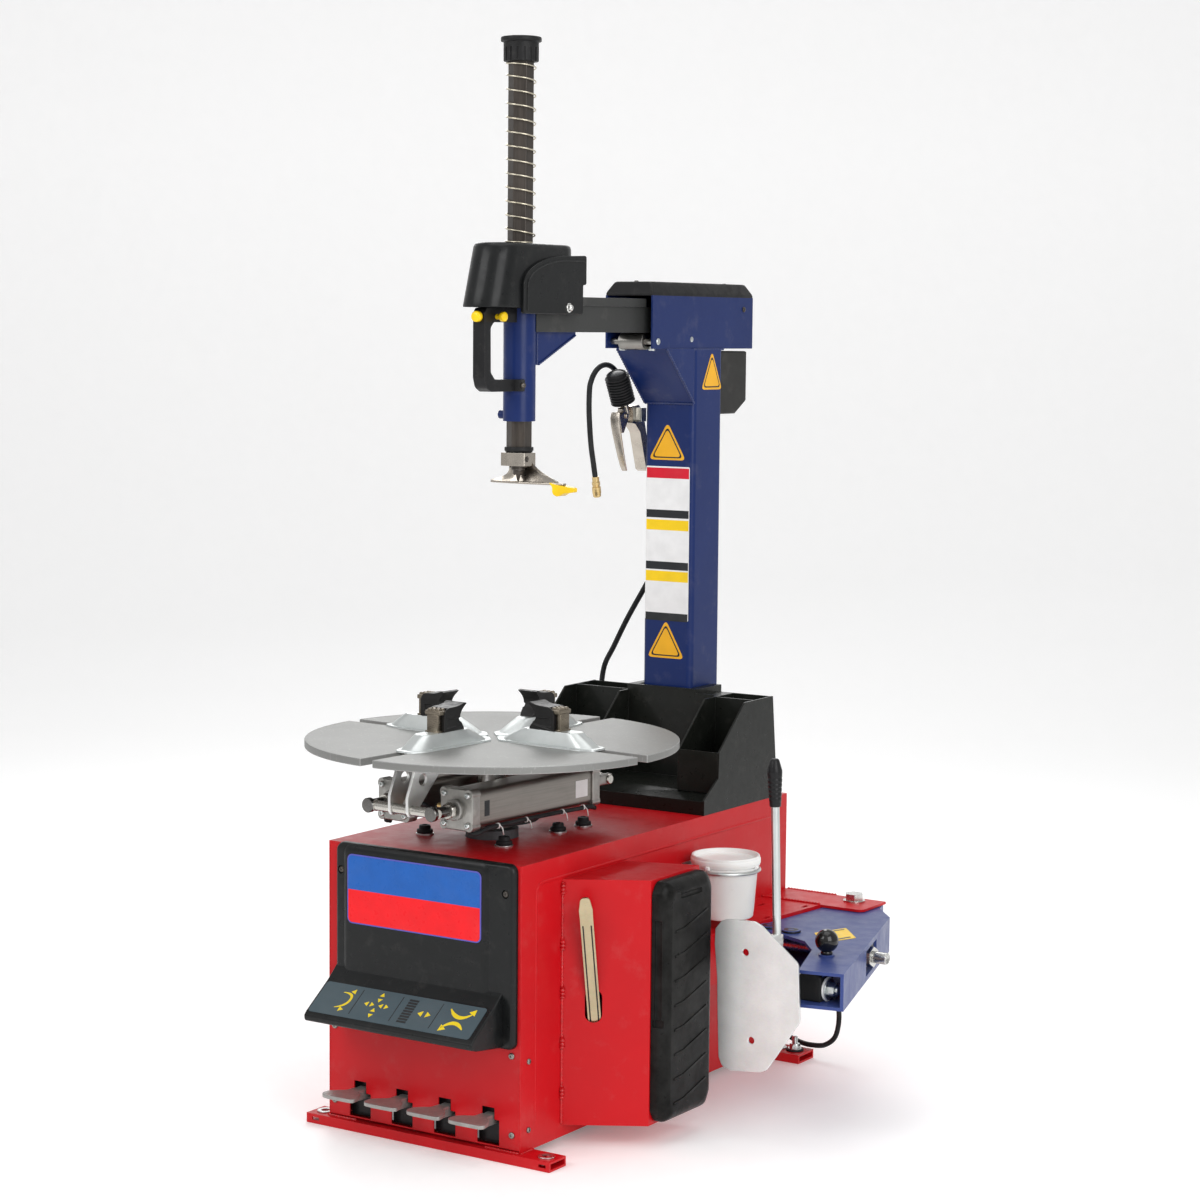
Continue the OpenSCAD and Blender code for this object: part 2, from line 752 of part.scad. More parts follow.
// Jaw carriage pointing along +X; the legs reach down to the cross rod.
cover_foot = [[9, 0], [40, 31], [222, 31], [250, 18], [250, -18], [222, -31], [40, -31]];
cover_top = [[84, 13], [96, 19], [196, 19], [204, 12],
  [204, -12], [196, -19], [96, -19], [84, -13]];
leg = [[176, 696], [238, 696], [262, 640], [262, 612],
  [256, 604], [244, 604], [238, 612], [176, 676]];
module slider(legs = false) {
  union() {
    hull() {
      extrude_z([table_z + 0.1, table_z + 3.1]) polygon(cover_foot);
      extrude_z([table_z + 26, table_z + 28]) polygon(cover_top);
    }
    // slot tongue, underplate and the joint between them
    box([72, -13, 703], [238, 13, table_z + 1]);
    box([72, -26, 693], [238, 26, 702.6]);
    box([84, -12, 702], [230, 12, 704]);
    // upright with a T head, where the claw hooks in
    box([159, -13, 744], [170, 13, 778]);
    box([148, -18, 776], [170, 18, 784]);
    for (y = [-10, 0, 10]) x_cyl([150, 168], [y, 784], 3.6);
  }
  if (legs) for (side = [-1, 1]) extrude_y([side * 21 - 3, side * 21 + 3]) difference() {
    polygon(leg);
    translate(cross_rod) circle(r = 9.1);
    translate([222, 668]) circle(r = 11);
  }
}
// Hardened claw with an inner and an outer gripping edge, along +X.
claw_side = [[97, 745], [101, 750], [110, 757], [115, 766], [115, 773], [110, 782], [101, 793],
  [107, 794.5], [124, 789], [146, 788], [154, 785], [159, 779], [159, 745]];
module claw() {
  difference() {
    extrude_y([-20, 20]) polygon(claw_side);
    // socket for the T head of the upright
    box([148, -21, 776], [172, 21, 800]);
    for (side = [-1, 1]) translate([0, side * 20, 0]) box([112, -3.5, 752], [152, 3.5, 768]);
  }
}
// Turns the jaw frame: 0 right, 90 rear, 180 left, -90 front.
module jaw_at(turn) {
  rotate([0, 0, slot_turn + turn]) children();
}
module jaw_slider_front() { color("#c9ccc8") jaw_at(-90) slider(true); }
module jaw_slider_rear() {
  color("#c9ccc8") jaw_at(90) {
    slider(true);
    y_cyl(cross_span, cross_rod, 9.1);
  }
}
module jaw_slider_right() { color("#c9ccc8") jaw_at(0) slider(); }
module jaw_slider_left() { color("#c9ccc8") jaw_at(180) slider(); }
module jaw_claw_front() { color("#2a2a2b") jaw_at(-90) claw(); }
module jaw_claw_right() { color("#2a2a2b") jaw_at(0) claw(); }
module jaw_claw_rear() { color("#2a2a2b") jaw_at(90) claw(); }
module jaw_claw_left() { color("#2a2a2b") jaw_at(180) claw(); }

// Two air cylinders on the rear carriage.
module clamp_cylinders() {
  color("#b4b1aa") jaw_at(90) for (y = [-clamp_y, clamp_y]) difference() {
    union() {
      box([-168, y - 34, clamp_z - 34], [160, y + 34, clamp_z + 34]);
      for (x = [-190, 160])
        box([x, y - 37.5, clamp_z - 37.5], [x + 22, y + 37.5, clamp_z + 37.5]);
      // ears to the rear cross rod
      box([182, y - 7, clamp_z - 10], [262, y + 7, clamp_z + 10]);
    }
    x_cyl([-170, 160], [y, clamp_z], 30);
    x_cyl([-191, -161], [y, clamp_z], 10.3);
    y_cyl([y - 10, y + 10], cross_rod, 9.1);
  }
}
// Piston rods, pistons and the front cross rod, on the front carriage.
module clamp_rods() {
  color("#c2bfb8") jaw_at(-90) union() {
    y_cyl(cross_span, cross_rod, 9.05);
    for (y = [-clamp_y, clamp_y]) {
      x_cyl([-142, 262], [y, clamp_z], 10);
      x_cyl([-152, -136], [y, clamp_z], 29.6);
    }
  }
}

// ---- bead breaker ---------------------------------------------------------------
blade_pin = [192, 290];         // Y, Z
lock_pin = [561, 270];          // X, Y
arm_plugs = [[410, 407], [357, 417]];   // X, Y
// Arm from above, and the strip of its outer wall, in (X, Y)
arm_outline = [[345, 716], [353, 655], [353, 634], [346.5, 570], [334.5, 445], [334.5, 396],
  [350, 384], [420, 374], [470, 352], [516, 296], [573, 142], [656, 159], [505, 632],
  [451, 694], [436, 738], [396, 752], [362, 744]];
arm_wall = [[656, 159], [505, 632], [451, 694], [436, 738],
  [430, 736], [445.5, 691], [499.5, 629], [649.8, 157.8]];
// Blade face in (X, Z)
blade_outline = [[422, 403], [436, 409], [492, 411], [508, 404], [583, 345], [588, 240],
  [522, 143], [508, 136], [446, 130], [427, 136], [420, 152], [417, 230], [415, 300],
  [409, 360], [410, 388]];

module breaker_arm() {
  color("#3d4f9a") difference() {
    union() {
      for (z = [262, 324]) extrude_z([z, z + 6]) polygon(arm_outline);
      extrude_z([262, 330]) polygon(arm_wall);
      // pin tube
      z_cyl([262, 330], arm_pin, 26);
      // pivot block of the blade inside the open end
      box([560, 170, 268], [604, 214, 300]);
      x_cyl([560, 604], [blade_pin[0], 300], 22);
    }
    z_cyl([260, 332], arm_pin, 12.15);
    // window for the bead-breaker rod
    translate([566, rod_axis[0], 0]) rotate([0, 0, 17.7]) box([-20, -60, 272], [20, 52, 320]);
    x_cyl([555, 610], blade_pin, 8.1);
    z_cyl([320, 332], lock_pin, 7.2);
    for (plug = arm_plugs) z_cyl([322, 331], plug, 9);
  }
  color("#1f2022") for (plug = arm_plugs) {
    z_cyl([330, 335], plug, 18);
    z_cyl([324, 330], plug, 9);
  }
}
module lock_knob() {
  color("#191919") union() {
    translate([lock_pin[0], lock_pin[1], 357]) sphere(r = 20);
    z_cyl([333, 342], lock_pin, 11);
    z_cyl([300, 340], lock_pin, 7);
  }
}
module breaker_cylinder() {
  color("#a9adb0") difference() {
    union() {
      x_cyl([-58, 188], rod_axis, 70);
      x_cyl([-66, -58], rod_axis, 74);
      z_cyl([186, 240], trunnion, 8);
      z_cyl([202.3, 232], trunnion, 20);
    }
    x_cyl([-56, 178], rod_axis, 64);
    x_cyl([170, 190], rod_axis, 11.3);
  }
}
module breaker_rod() {
  color("#c4c3c0") union() {
    x_cyl([-28, 600], rod_axis, 11);
    x_cyl([-44, -26], rod_axis, 63.6);
    // nut and washer in the window of the arm
    x_cyl([556, 572], rod_axis, 20, $fn = 6);
    x_cyl([552, 556], rod_axis, 21);
  }
}
// Curved-edge blade with its holder.
module blade() {
  color("#d9dad8") difference() {
    extrude_y([123, 128]) polygon(blade_outline);
    for (hole = [[474, 352], [488, 192]]) y_cyl([120, 130], hole, 6.5);
  }
  color("#b9bab8") {
    // holder: web, boss, and pivot bolt with washer and nut
    extrude_x([532, 546])
      polygon([[128, 250], [128, 330], [178, 314], [214, 300], [214, 272], [178, 262]]);
    x_cyl([530, 558], blade_pin, 20);
    x_cyl([546, 630], blade_pin, 8);
    x_cyl([606, 609], blade_pin, 20.5);
    x_cyl([609, 623], blade_pin, 13, $fn = 6);
    // socket of the handle
    box([505, 128, 300], [532, 160, 372]);
    y_cyl([128, 160], [518, 372], 13);
  }
}
module blade_handle() {
  color("#c9cac8") bar([517, 166, 300], [507, 166, 622], 6);
  color("#1b1c1d") bar([507, 166, 618], [504.4, 166, 702], 13);
}
module paste_tub() {
  color("#ecebe8") translate([tub_axis[0], tub_axis[1], 354]) rotate_extrude()
    polygon([[0, 0], [52, 0], [54.5, 2.5], [tub_r - 5.4, 96], [tub_r - 1, 96.5],
      [tub_r - 1, 104], [tub_r, 105], [tub_r, 114], [tub_r - 2, 120], [tub_r - 6, 120],
      [tub_r - 7, 110], [0, 110]]);
}
module tyre_lever() {
  tip = [[-12, 0], [12, 0], [12.5, 12], [8, 36], [-8, 36], [-12.5, 12]];
  color("#cdb98c") at_lever_slot() translate([0, 1.5, 0])
    rotate([0, -4.4, 0]) rotate([11.5, 0, 0]) union() {
      box([-12, -3, -185], [12, 3, 175]);
      extrude_y([-3, 3]) translate([0, 175]) polygon(tip);
    }
}

// ---- pedals -----------------------------------------------------------------
// Pedal at x; left and right are the foot plate's reach to either side.
module pedal(x, left = 38, right = 38) {
  color("#b7b8b6") difference() {
    union() {
      // foot plate with one rounded corner
      translate([x, 0, 73]) linear_extrude(7) union() {
        polygon([[-left + 20, -285], [right - 6, -285], [right, -279], [right, -240],
          [12, -214], [-12, -214], [-left, -240], [-left, -265]]);
        translate([-left + 20, -265]) circle(r = 20);
      }
      // arm through the panel slot to the shaft
      extrude_x([x - 11, x + 11]) polygon([[-240, 60], [-240, 80], [-150, 80], [-124, 107],
        [-112, 107], [-106, 95], [-112, 83], [-150, 60]]);
    }
    x_cyl([x - 12, x + 12], pedal_pin, 8.15);
  }
}
module pedal_1() { pedal(pedal_x[0]); }
module pedal_2() { pedal(pedal_x[1]); }
module pedal_3() { pedal(pedal_x[2]); }
module pedal_4() { pedal(pedal_x[3], left = 42); }

cabinet();
front_panel();
base_channels();
control_cover();
side_bracket();
bumper_pad();
breaker_shelf();
tub_ring();
tool_tray();
bolt_caps();
gearbox();
motor();
drive_belt();
pivot_pins();
tilt_cylinder();
column_tube();
head_box();
head_cap();
valve_box();
arm_rollers();
inflator();
air_hose();
inflator_trigger();
arm_tube();
guide_tube();
post_housing();
handle();
lock_button();
hex_shaft();
shaft_cap();
post_spring();
mount_head();
head_insert();
turntable_plate();
turntable_spindle();
jaw_slider_front();
jaw_slider_right();
jaw_slider_rear();
jaw_slider_left();
jaw_claw_front();
jaw_claw_right();
jaw_claw_rear();
jaw_claw_left();
clamp_cylinders();
clamp_rods();
breaker_arm();
breaker_cylinder();
breaker_rod();
blade();
blade_handle();
lock_knob();
paste_tub();
tyre_lever();
pedal_1();
pedal_2();
pedal_3();
pedal_4();
motor_pulley();
gearbox_pulley();
tilt_rod();
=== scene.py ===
"""Tyre changer: cabinet with pedals, column, sliding arm with tool post, turntable with
four jaws, and a bead breaker on the side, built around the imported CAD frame.

It stands on z = 0 with its front toward -y and the breaker on the +x side. The
turntable is centred on the z axis. Meshes are written in mm; the floor, the lights,
the camera and the material sizes are in m.
"""
import bpy
import bmesh
import json
import math
import random
from mathutils import Matrix, Vector


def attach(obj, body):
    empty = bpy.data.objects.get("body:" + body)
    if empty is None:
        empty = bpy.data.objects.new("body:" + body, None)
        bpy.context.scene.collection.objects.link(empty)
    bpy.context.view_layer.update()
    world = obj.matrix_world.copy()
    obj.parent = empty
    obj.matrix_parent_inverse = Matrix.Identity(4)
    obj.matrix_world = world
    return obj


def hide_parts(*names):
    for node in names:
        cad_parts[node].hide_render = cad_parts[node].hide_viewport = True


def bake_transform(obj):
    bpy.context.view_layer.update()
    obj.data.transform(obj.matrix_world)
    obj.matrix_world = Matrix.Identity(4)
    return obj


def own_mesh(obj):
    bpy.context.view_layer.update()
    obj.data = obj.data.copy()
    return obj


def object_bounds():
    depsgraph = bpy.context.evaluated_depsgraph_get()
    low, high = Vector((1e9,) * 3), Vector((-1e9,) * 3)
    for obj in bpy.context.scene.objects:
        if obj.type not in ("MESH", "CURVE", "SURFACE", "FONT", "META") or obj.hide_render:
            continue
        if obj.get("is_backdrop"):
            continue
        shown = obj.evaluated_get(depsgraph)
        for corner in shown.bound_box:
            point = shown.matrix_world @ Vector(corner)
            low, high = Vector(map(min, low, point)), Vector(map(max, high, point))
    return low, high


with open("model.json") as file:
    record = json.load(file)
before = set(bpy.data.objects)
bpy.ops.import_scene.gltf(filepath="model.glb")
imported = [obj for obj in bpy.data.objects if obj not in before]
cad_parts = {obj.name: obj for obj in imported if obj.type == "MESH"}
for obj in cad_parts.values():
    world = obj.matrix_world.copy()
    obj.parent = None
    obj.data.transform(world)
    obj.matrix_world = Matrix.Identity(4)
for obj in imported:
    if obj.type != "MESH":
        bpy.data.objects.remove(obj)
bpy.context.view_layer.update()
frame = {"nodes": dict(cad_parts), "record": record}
NODES = frame["nodes"]
RECORD = frame["record"]
NODE_SLOT = {part["node"]: part["material_slot"] for part in RECORD["subparts"]}
NODE_BODY = {node: body for body, nodes in RECORD["behaviour"]["bodies"].items()
             for node in nodes}
random.seed(11)

MM_TO_M = 0.001
TURN = math.radians(-4.3)  # rest angle of the turntable and jaws
PLUS_X, PLUS_Y, UP = (1, 0, 0), (0, 1, 0), (0, 0, 1)
MINUS_X, MINUS_Y, DOWN = (-1, 0, 0), (0, -1, 0), (0, 0, -1)
MATERIALS = {}


# ---------------------------------------------------------------- shader graph
def shade(color, gain, lift=0.0):
    return tuple(max(0, min(1, (x + lift) * gain)) for x in color)


class Graph:
    """A Principled material on object coordinates; its colour is built up in layers."""

    def __init__(self, name):
        material = bpy.data.materials.new(name)
        MATERIALS[name] = material
        material.use_nodes = True
        self.tree = material.node_tree
        self.tree.nodes.clear()
        output = self.node("ShaderNodeOutputMaterial")
        self.bsdf = self.node("ShaderNodeBsdfPrincipled")
        self.link(self.bsdf.outputs["BSDF"], output.inputs["Surface"])
        self.coords = self.node("ShaderNodeTexCoord").outputs["Object"]
        self.normal = None
        self.color = None

    def node(self, kind, **settings):
        node = self.tree.nodes.new(kind)
        for key, value in settings.items():
            setattr(node, key, value)
        return node

    def link(self, source, target):
        self.tree.links.new(source, target)

    def put(self, socket, value):
        """links a socket, or sets a plain value"""
        if hasattr(value, "links"):
            self.link(value, socket)
        elif isinstance(value, (tuple, list)) and len(value) == 3 and socket.type == "RGBA":
            socket.default_value = (*value, 1)
        else:
            socket.default_value = value

    def noise(self, scale, detail=4.0, rough=0.5, stretch=None, rot=None, source=None):
        node = self.node("ShaderNodeTexNoise")
        node.inputs["Scale"].default_value = scale
        node.inputs["Detail"].default_value = detail
        node.inputs["Roughness"].default_value = rough
        source = source or self.coords
        for key, value in (("Rotation", rot), ("Scale", stretch)):
            if value:
                mapping = self.node("ShaderNodeMapping")
                mapping.inputs[key].default_value = value
                self.link(source, mapping.inputs["Vector"])
                source = mapping.outputs["Vector"]
        self.link(source, node.inputs["Vector"])
        return node.outputs["Fac"]

    def cells(self, scale, output="Distance"):
        node = self.node("ShaderNodeTexVoronoi")
        node.inputs["Scale"].default_value = scale
        self.link(self.coords, node.inputs["Vector"])
        return node.outputs[output]

    def ramp(self, value, span=(0.3, 0.7), to=(0.0, 1.0)):
        node = self.node("ShaderNodeMapRange")
        node.clamp = True
        self.put(node.inputs["Value"], value)
        for key, limit in zip(("From Min", "From Max", "To Min", "To Max"), (*span, *to)):
            node.inputs[key].default_value = limit
        return node.outputs["Result"]

    def spots(self, span=(0.3, 0.7), to=(0.0, 1.0), **noise):
        """noise with the values in span spread over to"""
        return self.ramp(self.noise(**noise), span, to)

    def math(self, operation, first, second=0.0):
        node = self.node("ShaderNodeMath", operation=operation)
        for i, value in enumerate((first, second, 0.0)):
            self.put(node.inputs[i], value)
        return node.outputs[0]

    def times(self, first, second):
        return self.math("MULTIPLY", first, second)

    def mix(self, factor, first, second, mode="MIX"):
        node = self.node("ShaderNodeMix", data_type="RGBA", blend_type=mode)
        self.put(node.inputs["Factor"], factor)
        colors = [socket for socket in node.inputs if socket.type == "RGBA"]
        self.put(colors[0], first)
        self.put(colors[1], second)
        return [socket for socket in node.outputs if socket.type == "RGBA"][0]

    def vary(self, mask, color, gains, lift=0.0):
        """starts the colour: from dark to light along the mask"""
        self.color = self.mix(mask, shade(color, gains[0]), shade(color, gains[1], lift))

    def layer(self, mask, color, amount=None):
        """lays a colour over the present one where the mask is high"""
        if amount is not None:
            mask = self.times(mask, amount)
        self.color = self.mix(mask, self.color, color)

    def edge(self, radius):
        """mask of the convex and concave edges within a radius"""
        bevel = self.node("ShaderNodeBevel", samples=4)
        bevel.inputs["Radius"].default_value = radius
        geometry = self.node("ShaderNodeNewGeometry")
        dot = self.node("ShaderNodeVectorMath", operation="DOT_PRODUCT")
        self.link(bevel.outputs["Normal"], dot.inputs[0])
        self.link(geometry.outputs["Normal"], dot.inputs[1])
        return self.ramp(dot.outputs["Value"], span=(0.995, 0.86))

    def bump(self, height, strength, depth):
        """adds a bump on top of the earlier ones"""
        node = self.node("ShaderNodeBump")
        node.inputs["Strength"].default_value = strength
        node.inputs["Distance"].default_value = depth
        self.link(height, node.inputs["Height"])
        if self.normal:
            self.link(self.normal, node.inputs["Normal"])
        self.normal = node.outputs["Normal"]
        self.link(self.normal, self.bsdf.inputs["Normal"])

    def surface(self, rough, metal=0.0, specular=0.5, coat=(0.0, 0.03)):
        """coat is its weight and roughness"""
        for key, value in (("Base Color", self.color), ("Roughness", rough),
                           ("Metallic", metal), ("Specular IOR Level", specular),
                           ("Coat Weight", coat[0]), ("Coat Roughness", coat[1])):
            self.put(self.bsdf.inputs[key], value)

    def position(self):
        node = self.node("ShaderNodeSeparateXYZ")
        self.link(self.coords, node.inputs[0])
        return node.outputs


# ---------------------------------------------------------------- material kinds
def powder(name, color, rough=0.36, coat=0.25, light=1.25):
    """powder coat; light is the gain of its worn edges"""
    g = Graph(name)
    cloud = g.spots(scale=5.0, detail=5, rough=0.55, span=(0.32, 0.68))
    fleck = g.spots(scale=1500, detail=2, span=(0.35, 0.65))
    g.vary(cloud, color, gains=(0.93, 1.05))
    g.layer(fleck, shade(color, 1.35), amount=0.10)
    dust = g.spots(scale=22, detail=6, rough=0.65, span=(0.56, 0.78))
    g.layer(dust, (0.42, 0.38, 0.35), amount=0.07)
    worn = g.times(g.edge(0.0014),
                   g.spots(scale=160, detail=5, rough=0.7, span=(0.42, 0.62)))
    g.layer(worn, shade(color, light, lift=0.10), amount=0.35)
    chip = g.times(g.edge(0.0008),
                   g.spots(scale=60, detail=6, rough=0.8, span=(0.66, 0.70)))
    g.layer(chip, (0.32, 0.31, 0.30), amount=0.75)
    gloss = g.spots(scale=30, detail=6, rough=0.6, to=(rough - 0.05, rough + 0.09))
    scratch = g.spots(scale=90, detail=3, rough=0.4, stretch=(1, 14, 1),
                      rot=(0.2, 0.1, 0.5), span=(0.68, 0.72))
    gloss = g.math("ADD", gloss, g.times(scratch, 0.12))
    g.surface(rough=gloss, specular=0.20, coat=(coat * 0.3, 0.14))
    g.bump(g.noise(scale=480, detail=2, rough=0.4), strength=0.10, depth=0.0006)
    g.bump(g.noise(scale=9, detail=2, rough=0.4), strength=0.06, depth=0.004)


def plastic(name, color, rough, grain, grain_bump, coat=0.0, wear=0.4):
    g = Graph(name)
    g.vary(g.spots(scale=14, detail=5, rough=0.6), color, gains=(0.86, 1.14))
    worn = g.times(g.edge(0.0012),
                   g.spots(scale=200, detail=5, rough=0.7, span=(0.35, 0.65)))
    g.layer(worn, shade(color, 1.5, lift=0.07), amount=wear)
    dust = g.spots(scale=35, detail=7, rough=0.7, span=(0.55, 0.8))
    g.layer(dust, (0.36, 0.34, 0.31), amount=0.05)
    gloss = g.spots(scale=60, detail=6, rough=0.6, to=(rough - 0.07, rough + 0.10))
    g.surface(rough=gloss, specular=0.19, coat=(coat, 0.1))
    g.bump(g.cells(grain), strength=grain_bump, depth=0.0004)
    g.bump(g.noise(scale=grain * 0.5, detail=3), strength=0.08, depth=0.0006)


def rubber(name, color, rough=0.72, grain=650):
    g = Graph(name)
    g.vary(g.spots(scale=25, detail=6, rough=0.65), color, gains=(0.8, 1.3), lift=0.01)
    g.layer(g.edge(0.002), shade(color, 1.5, lift=0.02), amount=0.25)
    dust = g.spots(scale=18, detail=8, rough=0.7, span=(0.52, 0.8))
    g.layer(dust, (0.30, 0.28, 0.26), amount=0.02)
    gloss = g.spots(scale=90, detail=5, to=(rough - 0.08, rough + 0.1))
    g.surface(rough=gloss, specular=0.10)
    g.bump(g.noise(scale=grain, detail=4, rough=0.6), strength=0.2, depth=0.0006)


def steel(name, color, rough, streak, tint, dark=0.3, stretch=(1, 1, 1), spangle=0.0):
    """bare or plated metal; streak is the scale of its lines, tint the amount of yellow,
    dark the amount of stain, spangle the amount of crystal pattern"""
    g = Graph(name)
    lines = g.spots(scale=streak, detail=4, rough=0.6, stretch=stretch)
    g.vary(g.spots(scale=16, detail=5, rough=0.6), color, gains=(0.90, 1.06))
    g.layer(lines, shade(color, 0.78), amount=0.25)
    yellow = g.spots(scale=26, detail=4, rough=0.6, span=(0.4, 0.7))
    g.layer(yellow, (0.75, 0.63, 0.40), amount=tint)
    if spangle:
        crystals = g.cells(240, output="Color")
        g.layer(spangle, g.mix(0.5, g.color, crystals, "OVERLAY"))
    stain = g.times(g.spots(scale=38, detail=7, rough=0.75, span=(0.58, 0.76)), dark)
    g.layer(stain, shade(color, 0.42))
    g.layer(g.edge(0.001), shade(color, 1.25), amount=0.25)
    gloss = g.ramp(lines, span=(0, 1), to=(rough - 0.05, rough + 0.10))
    g.surface(rough=g.math("ADD", gloss, g.times(stain, 0.25)), metal=1.0)
    g.bump(g.noise(scale=streak, detail=3, stretch=stretch), strength=0.06, depth=0.0003)
    g.bump(g.noise(scale=25, detail=2), strength=0.05, depth=0.002)


def cast(name, color, rough, metal, bump=0.35, grain=420, light=1.35):
    g = Graph(name)
    g.vary(g.spots(scale=45, detail=6, rough=0.7), color, gains=(0.78, 1.15))
    g.layer(g.edge(0.0015), shade(color, light, lift=0.04), amount=0.5)
    stain = g.spots(scale=20, detail=6, rough=0.7, span=(0.55, 0.75))
    g.layer(stain, shade(color, 0.5), amount=0.3)
    gloss = g.spots(scale=120, detail=5, to=(rough - 0.1, rough + 0.12))
    g.surface(rough=gloss, metal=metal)
    g.bump(g.noise(scale=grain, detail=4, rough=0.6), strength=bump, depth=0.0007)
    g.bump(g.noise(scale=70, detail=3), strength=0.10, depth=0.0018)


def table_steel():
    """turned plate: rings about the z axis, crossed scratches, bright edges"""
    g = Graph("table_steel")
    color = (0.216, 0.217, 0.209)
    xyz = g.position()
    radius = g.math("SQRT", g.math("ADD", g.times(xyz[0], xyz[0]), g.times(xyz[1], xyz[1])))
    combine = g.node("ShaderNodeCombineXYZ")
    g.link(radius, combine.inputs[0])
    turned = g.noise(scale=900, detail=3, source=combine.outputs[0])
    rings = g.ramp(turned, span=(0.35, 0.65))
    cloud = g.spots(scale=7, detail=6, rough=0.6)
    fleck = g.spots(scale=2200, detail=2, span=(0.42, 0.62))
    g.vary(cloud, color, gains=(0.93, 1.06))
    g.layer(fleck, shade(color, 1.35), amount=0.28)
    g.layer(rings, shade(color, 0.75), amount=0.10)
    scratch = g.spots(scale=55, detail=4, rough=0.4, stretch=(1, 16, 1), rot=(0, 0, 0.7),
                      span=(0.69, 0.71))
    crossed = g.spots(scale=48, detail=4, rough=0.4, stretch=(14, 1, 1), rot=(0, 0, 0.35),
                      span=(0.70, 0.72))
    g.layer(g.math("MAXIMUM", scratch, crossed), (0.72, 0.72, 0.70), amount=0.22)
    edge = g.edge(0.0022)
    g.layer(edge, (0.80, 0.80, 0.79), amount=0.85)
    metal = g.math("ADD", 0.45, g.times(edge, 0.5))
    gloss = g.ramp(cloud, span=(0, 1), to=(0.42, 0.52))
    g.surface(rough=g.math("ADD", gloss, g.times(fleck, 0.06)), metal=metal)
    g.bump(g.noise(scale=900, detail=3, rough=0.6), strength=0.10, depth=0.0004)
    g.bump(turned, strength=0.04, depth=0.0004)


def cylinder_alloy():
    """drawn aluminium with lines along the turned cylinders"""
    g = Graph("cylinder_alloy")
    color = (0.27, 0.25, 0.228)
    drawn = g.noise(scale=420, detail=4, rough=0.6, stretch=(1, 0.02, 1), rot=(0, 0, -TURN))
    lines = g.ramp(drawn, span=(0.35, 0.65))
    g.vary(lines, color, gains=(0.86, 1.1))
    stain = g.spots(scale=30, detail=5, rough=0.6, span=(0.5, 0.75))
    g.layer(stain, shade(color, 0.62), amount=0.25)
    g.layer(g.edge(0.001), (0.85, 0.85, 0.84), amount=0.35)
    g.surface(rough=g.ramp(lines, span=(0, 1), to=(0.30, 0.42)), metal=0.95)
    g.bump(drawn, strength=0.08, depth=0.0003)
    g.bump(g.noise(scale=600, detail=3), strength=0.05, depth=0.0003)


def black_steel():
    """blackened steel with upright wear lines"""
    g = Graph("black_steel")
    color = (0.052, 0.044, 0.038)
    lines = g.spots(scale=120, detail=5, rough=0.7, stretch=(1, 1, 0.05))
    g.vary(lines, color, gains=(0.7, 1.6))
    worn = g.times(g.edge(0.0012), g.spots(scale=300, detail=4, rough=0.7,
                                           stretch=(1, 1, 0.15), span=(0.3, 0.6)))
    g.layer(worn, (0.33, 0.31, 0.29))
    stain = g.spots(scale=14, detail=7, rough=0.7, span=(0.5, 0.8))
    g.layer(stain, (0.11, 0.085, 0.06), amount=0.35)
    g.surface(rough=g.ramp(lines, span=(0, 1), to=(0.32, 0.48)), metal=0.75,
              coat=(0.2, 0.25))
    g.bump(g.noise(scale=200, detail=3, stretch=(1, 1, 0.05)), strength=0.12, depth=0.0004)


def milky(name, color, scatter):
    g = Graph(name)
    g.vary(g.spots(scale=12, detail=4), color, gains=(0.95, 1.03))
    smear = g.spots(scale=28, detail=7, rough=0.75, span=(0.60, 0.78))
    g.layer(smear, (0.52, 0.47, 0.40), amount=0.3)
    g.surface(rough=g.spots(scale=80, detail=4, to=(0.30, 0.42)))
    g.put(g.bsdf.inputs["Subsurface Weight"], scatter)
    g.put(g.bsdf.inputs["Subsurface Radius"], (0.010, 0.009, 0.008))
    g.put(g.bsdf.inputs["Subsurface Scale"], 1.0)
    g.bump(g.noise(scale=500, detail=3), strength=0.07, depth=0.0004)


def sticker(name, color, rough=0.35, lower=None, split=None):
    """printed vinyl in one colour, or with a second one below the height split"""
    g = Graph(name)
    g.vary(g.spots(scale=35, detail=4), color, gains=(0.95, 1.05))
    if lower:
        upper = g.color
        above = g.ramp(g.position()[2], span=(split - 0.0003, split + 0.0003))
        g.vary(g.spots(scale=35, detail=4), lower, gains=(0.95, 1.05))
        g.layer(above, upper)
    dirt = g.spots(scale=12, detail=4, span=(0.50, 0.8))
    g.layer(dirt, (0.3, 0.28, 0.25), amount=0.06)
    gloss = g.spots(scale=90, detail=4, to=(rough - 0.06, rough + 0.1))
    g.surface(rough=gloss, specular=0.22, coat=(0.08, 0.2))
    g.bump(g.noise(scale=30, detail=2), strength=0.02, depth=0.0004)


def painted_weld(name, color):
    g = Graph(name)
    g.vary(g.spots(scale=120, detail=4), color, gains=(0.8, 1.2))
    g.surface(rough=g.spots(scale=200, detail=4, to=(0.3, 0.45)), coat=(0.3, 0.12))
    g.bump(g.noise(scale=330, detail=3), strength=0.5, depth=0.0012)


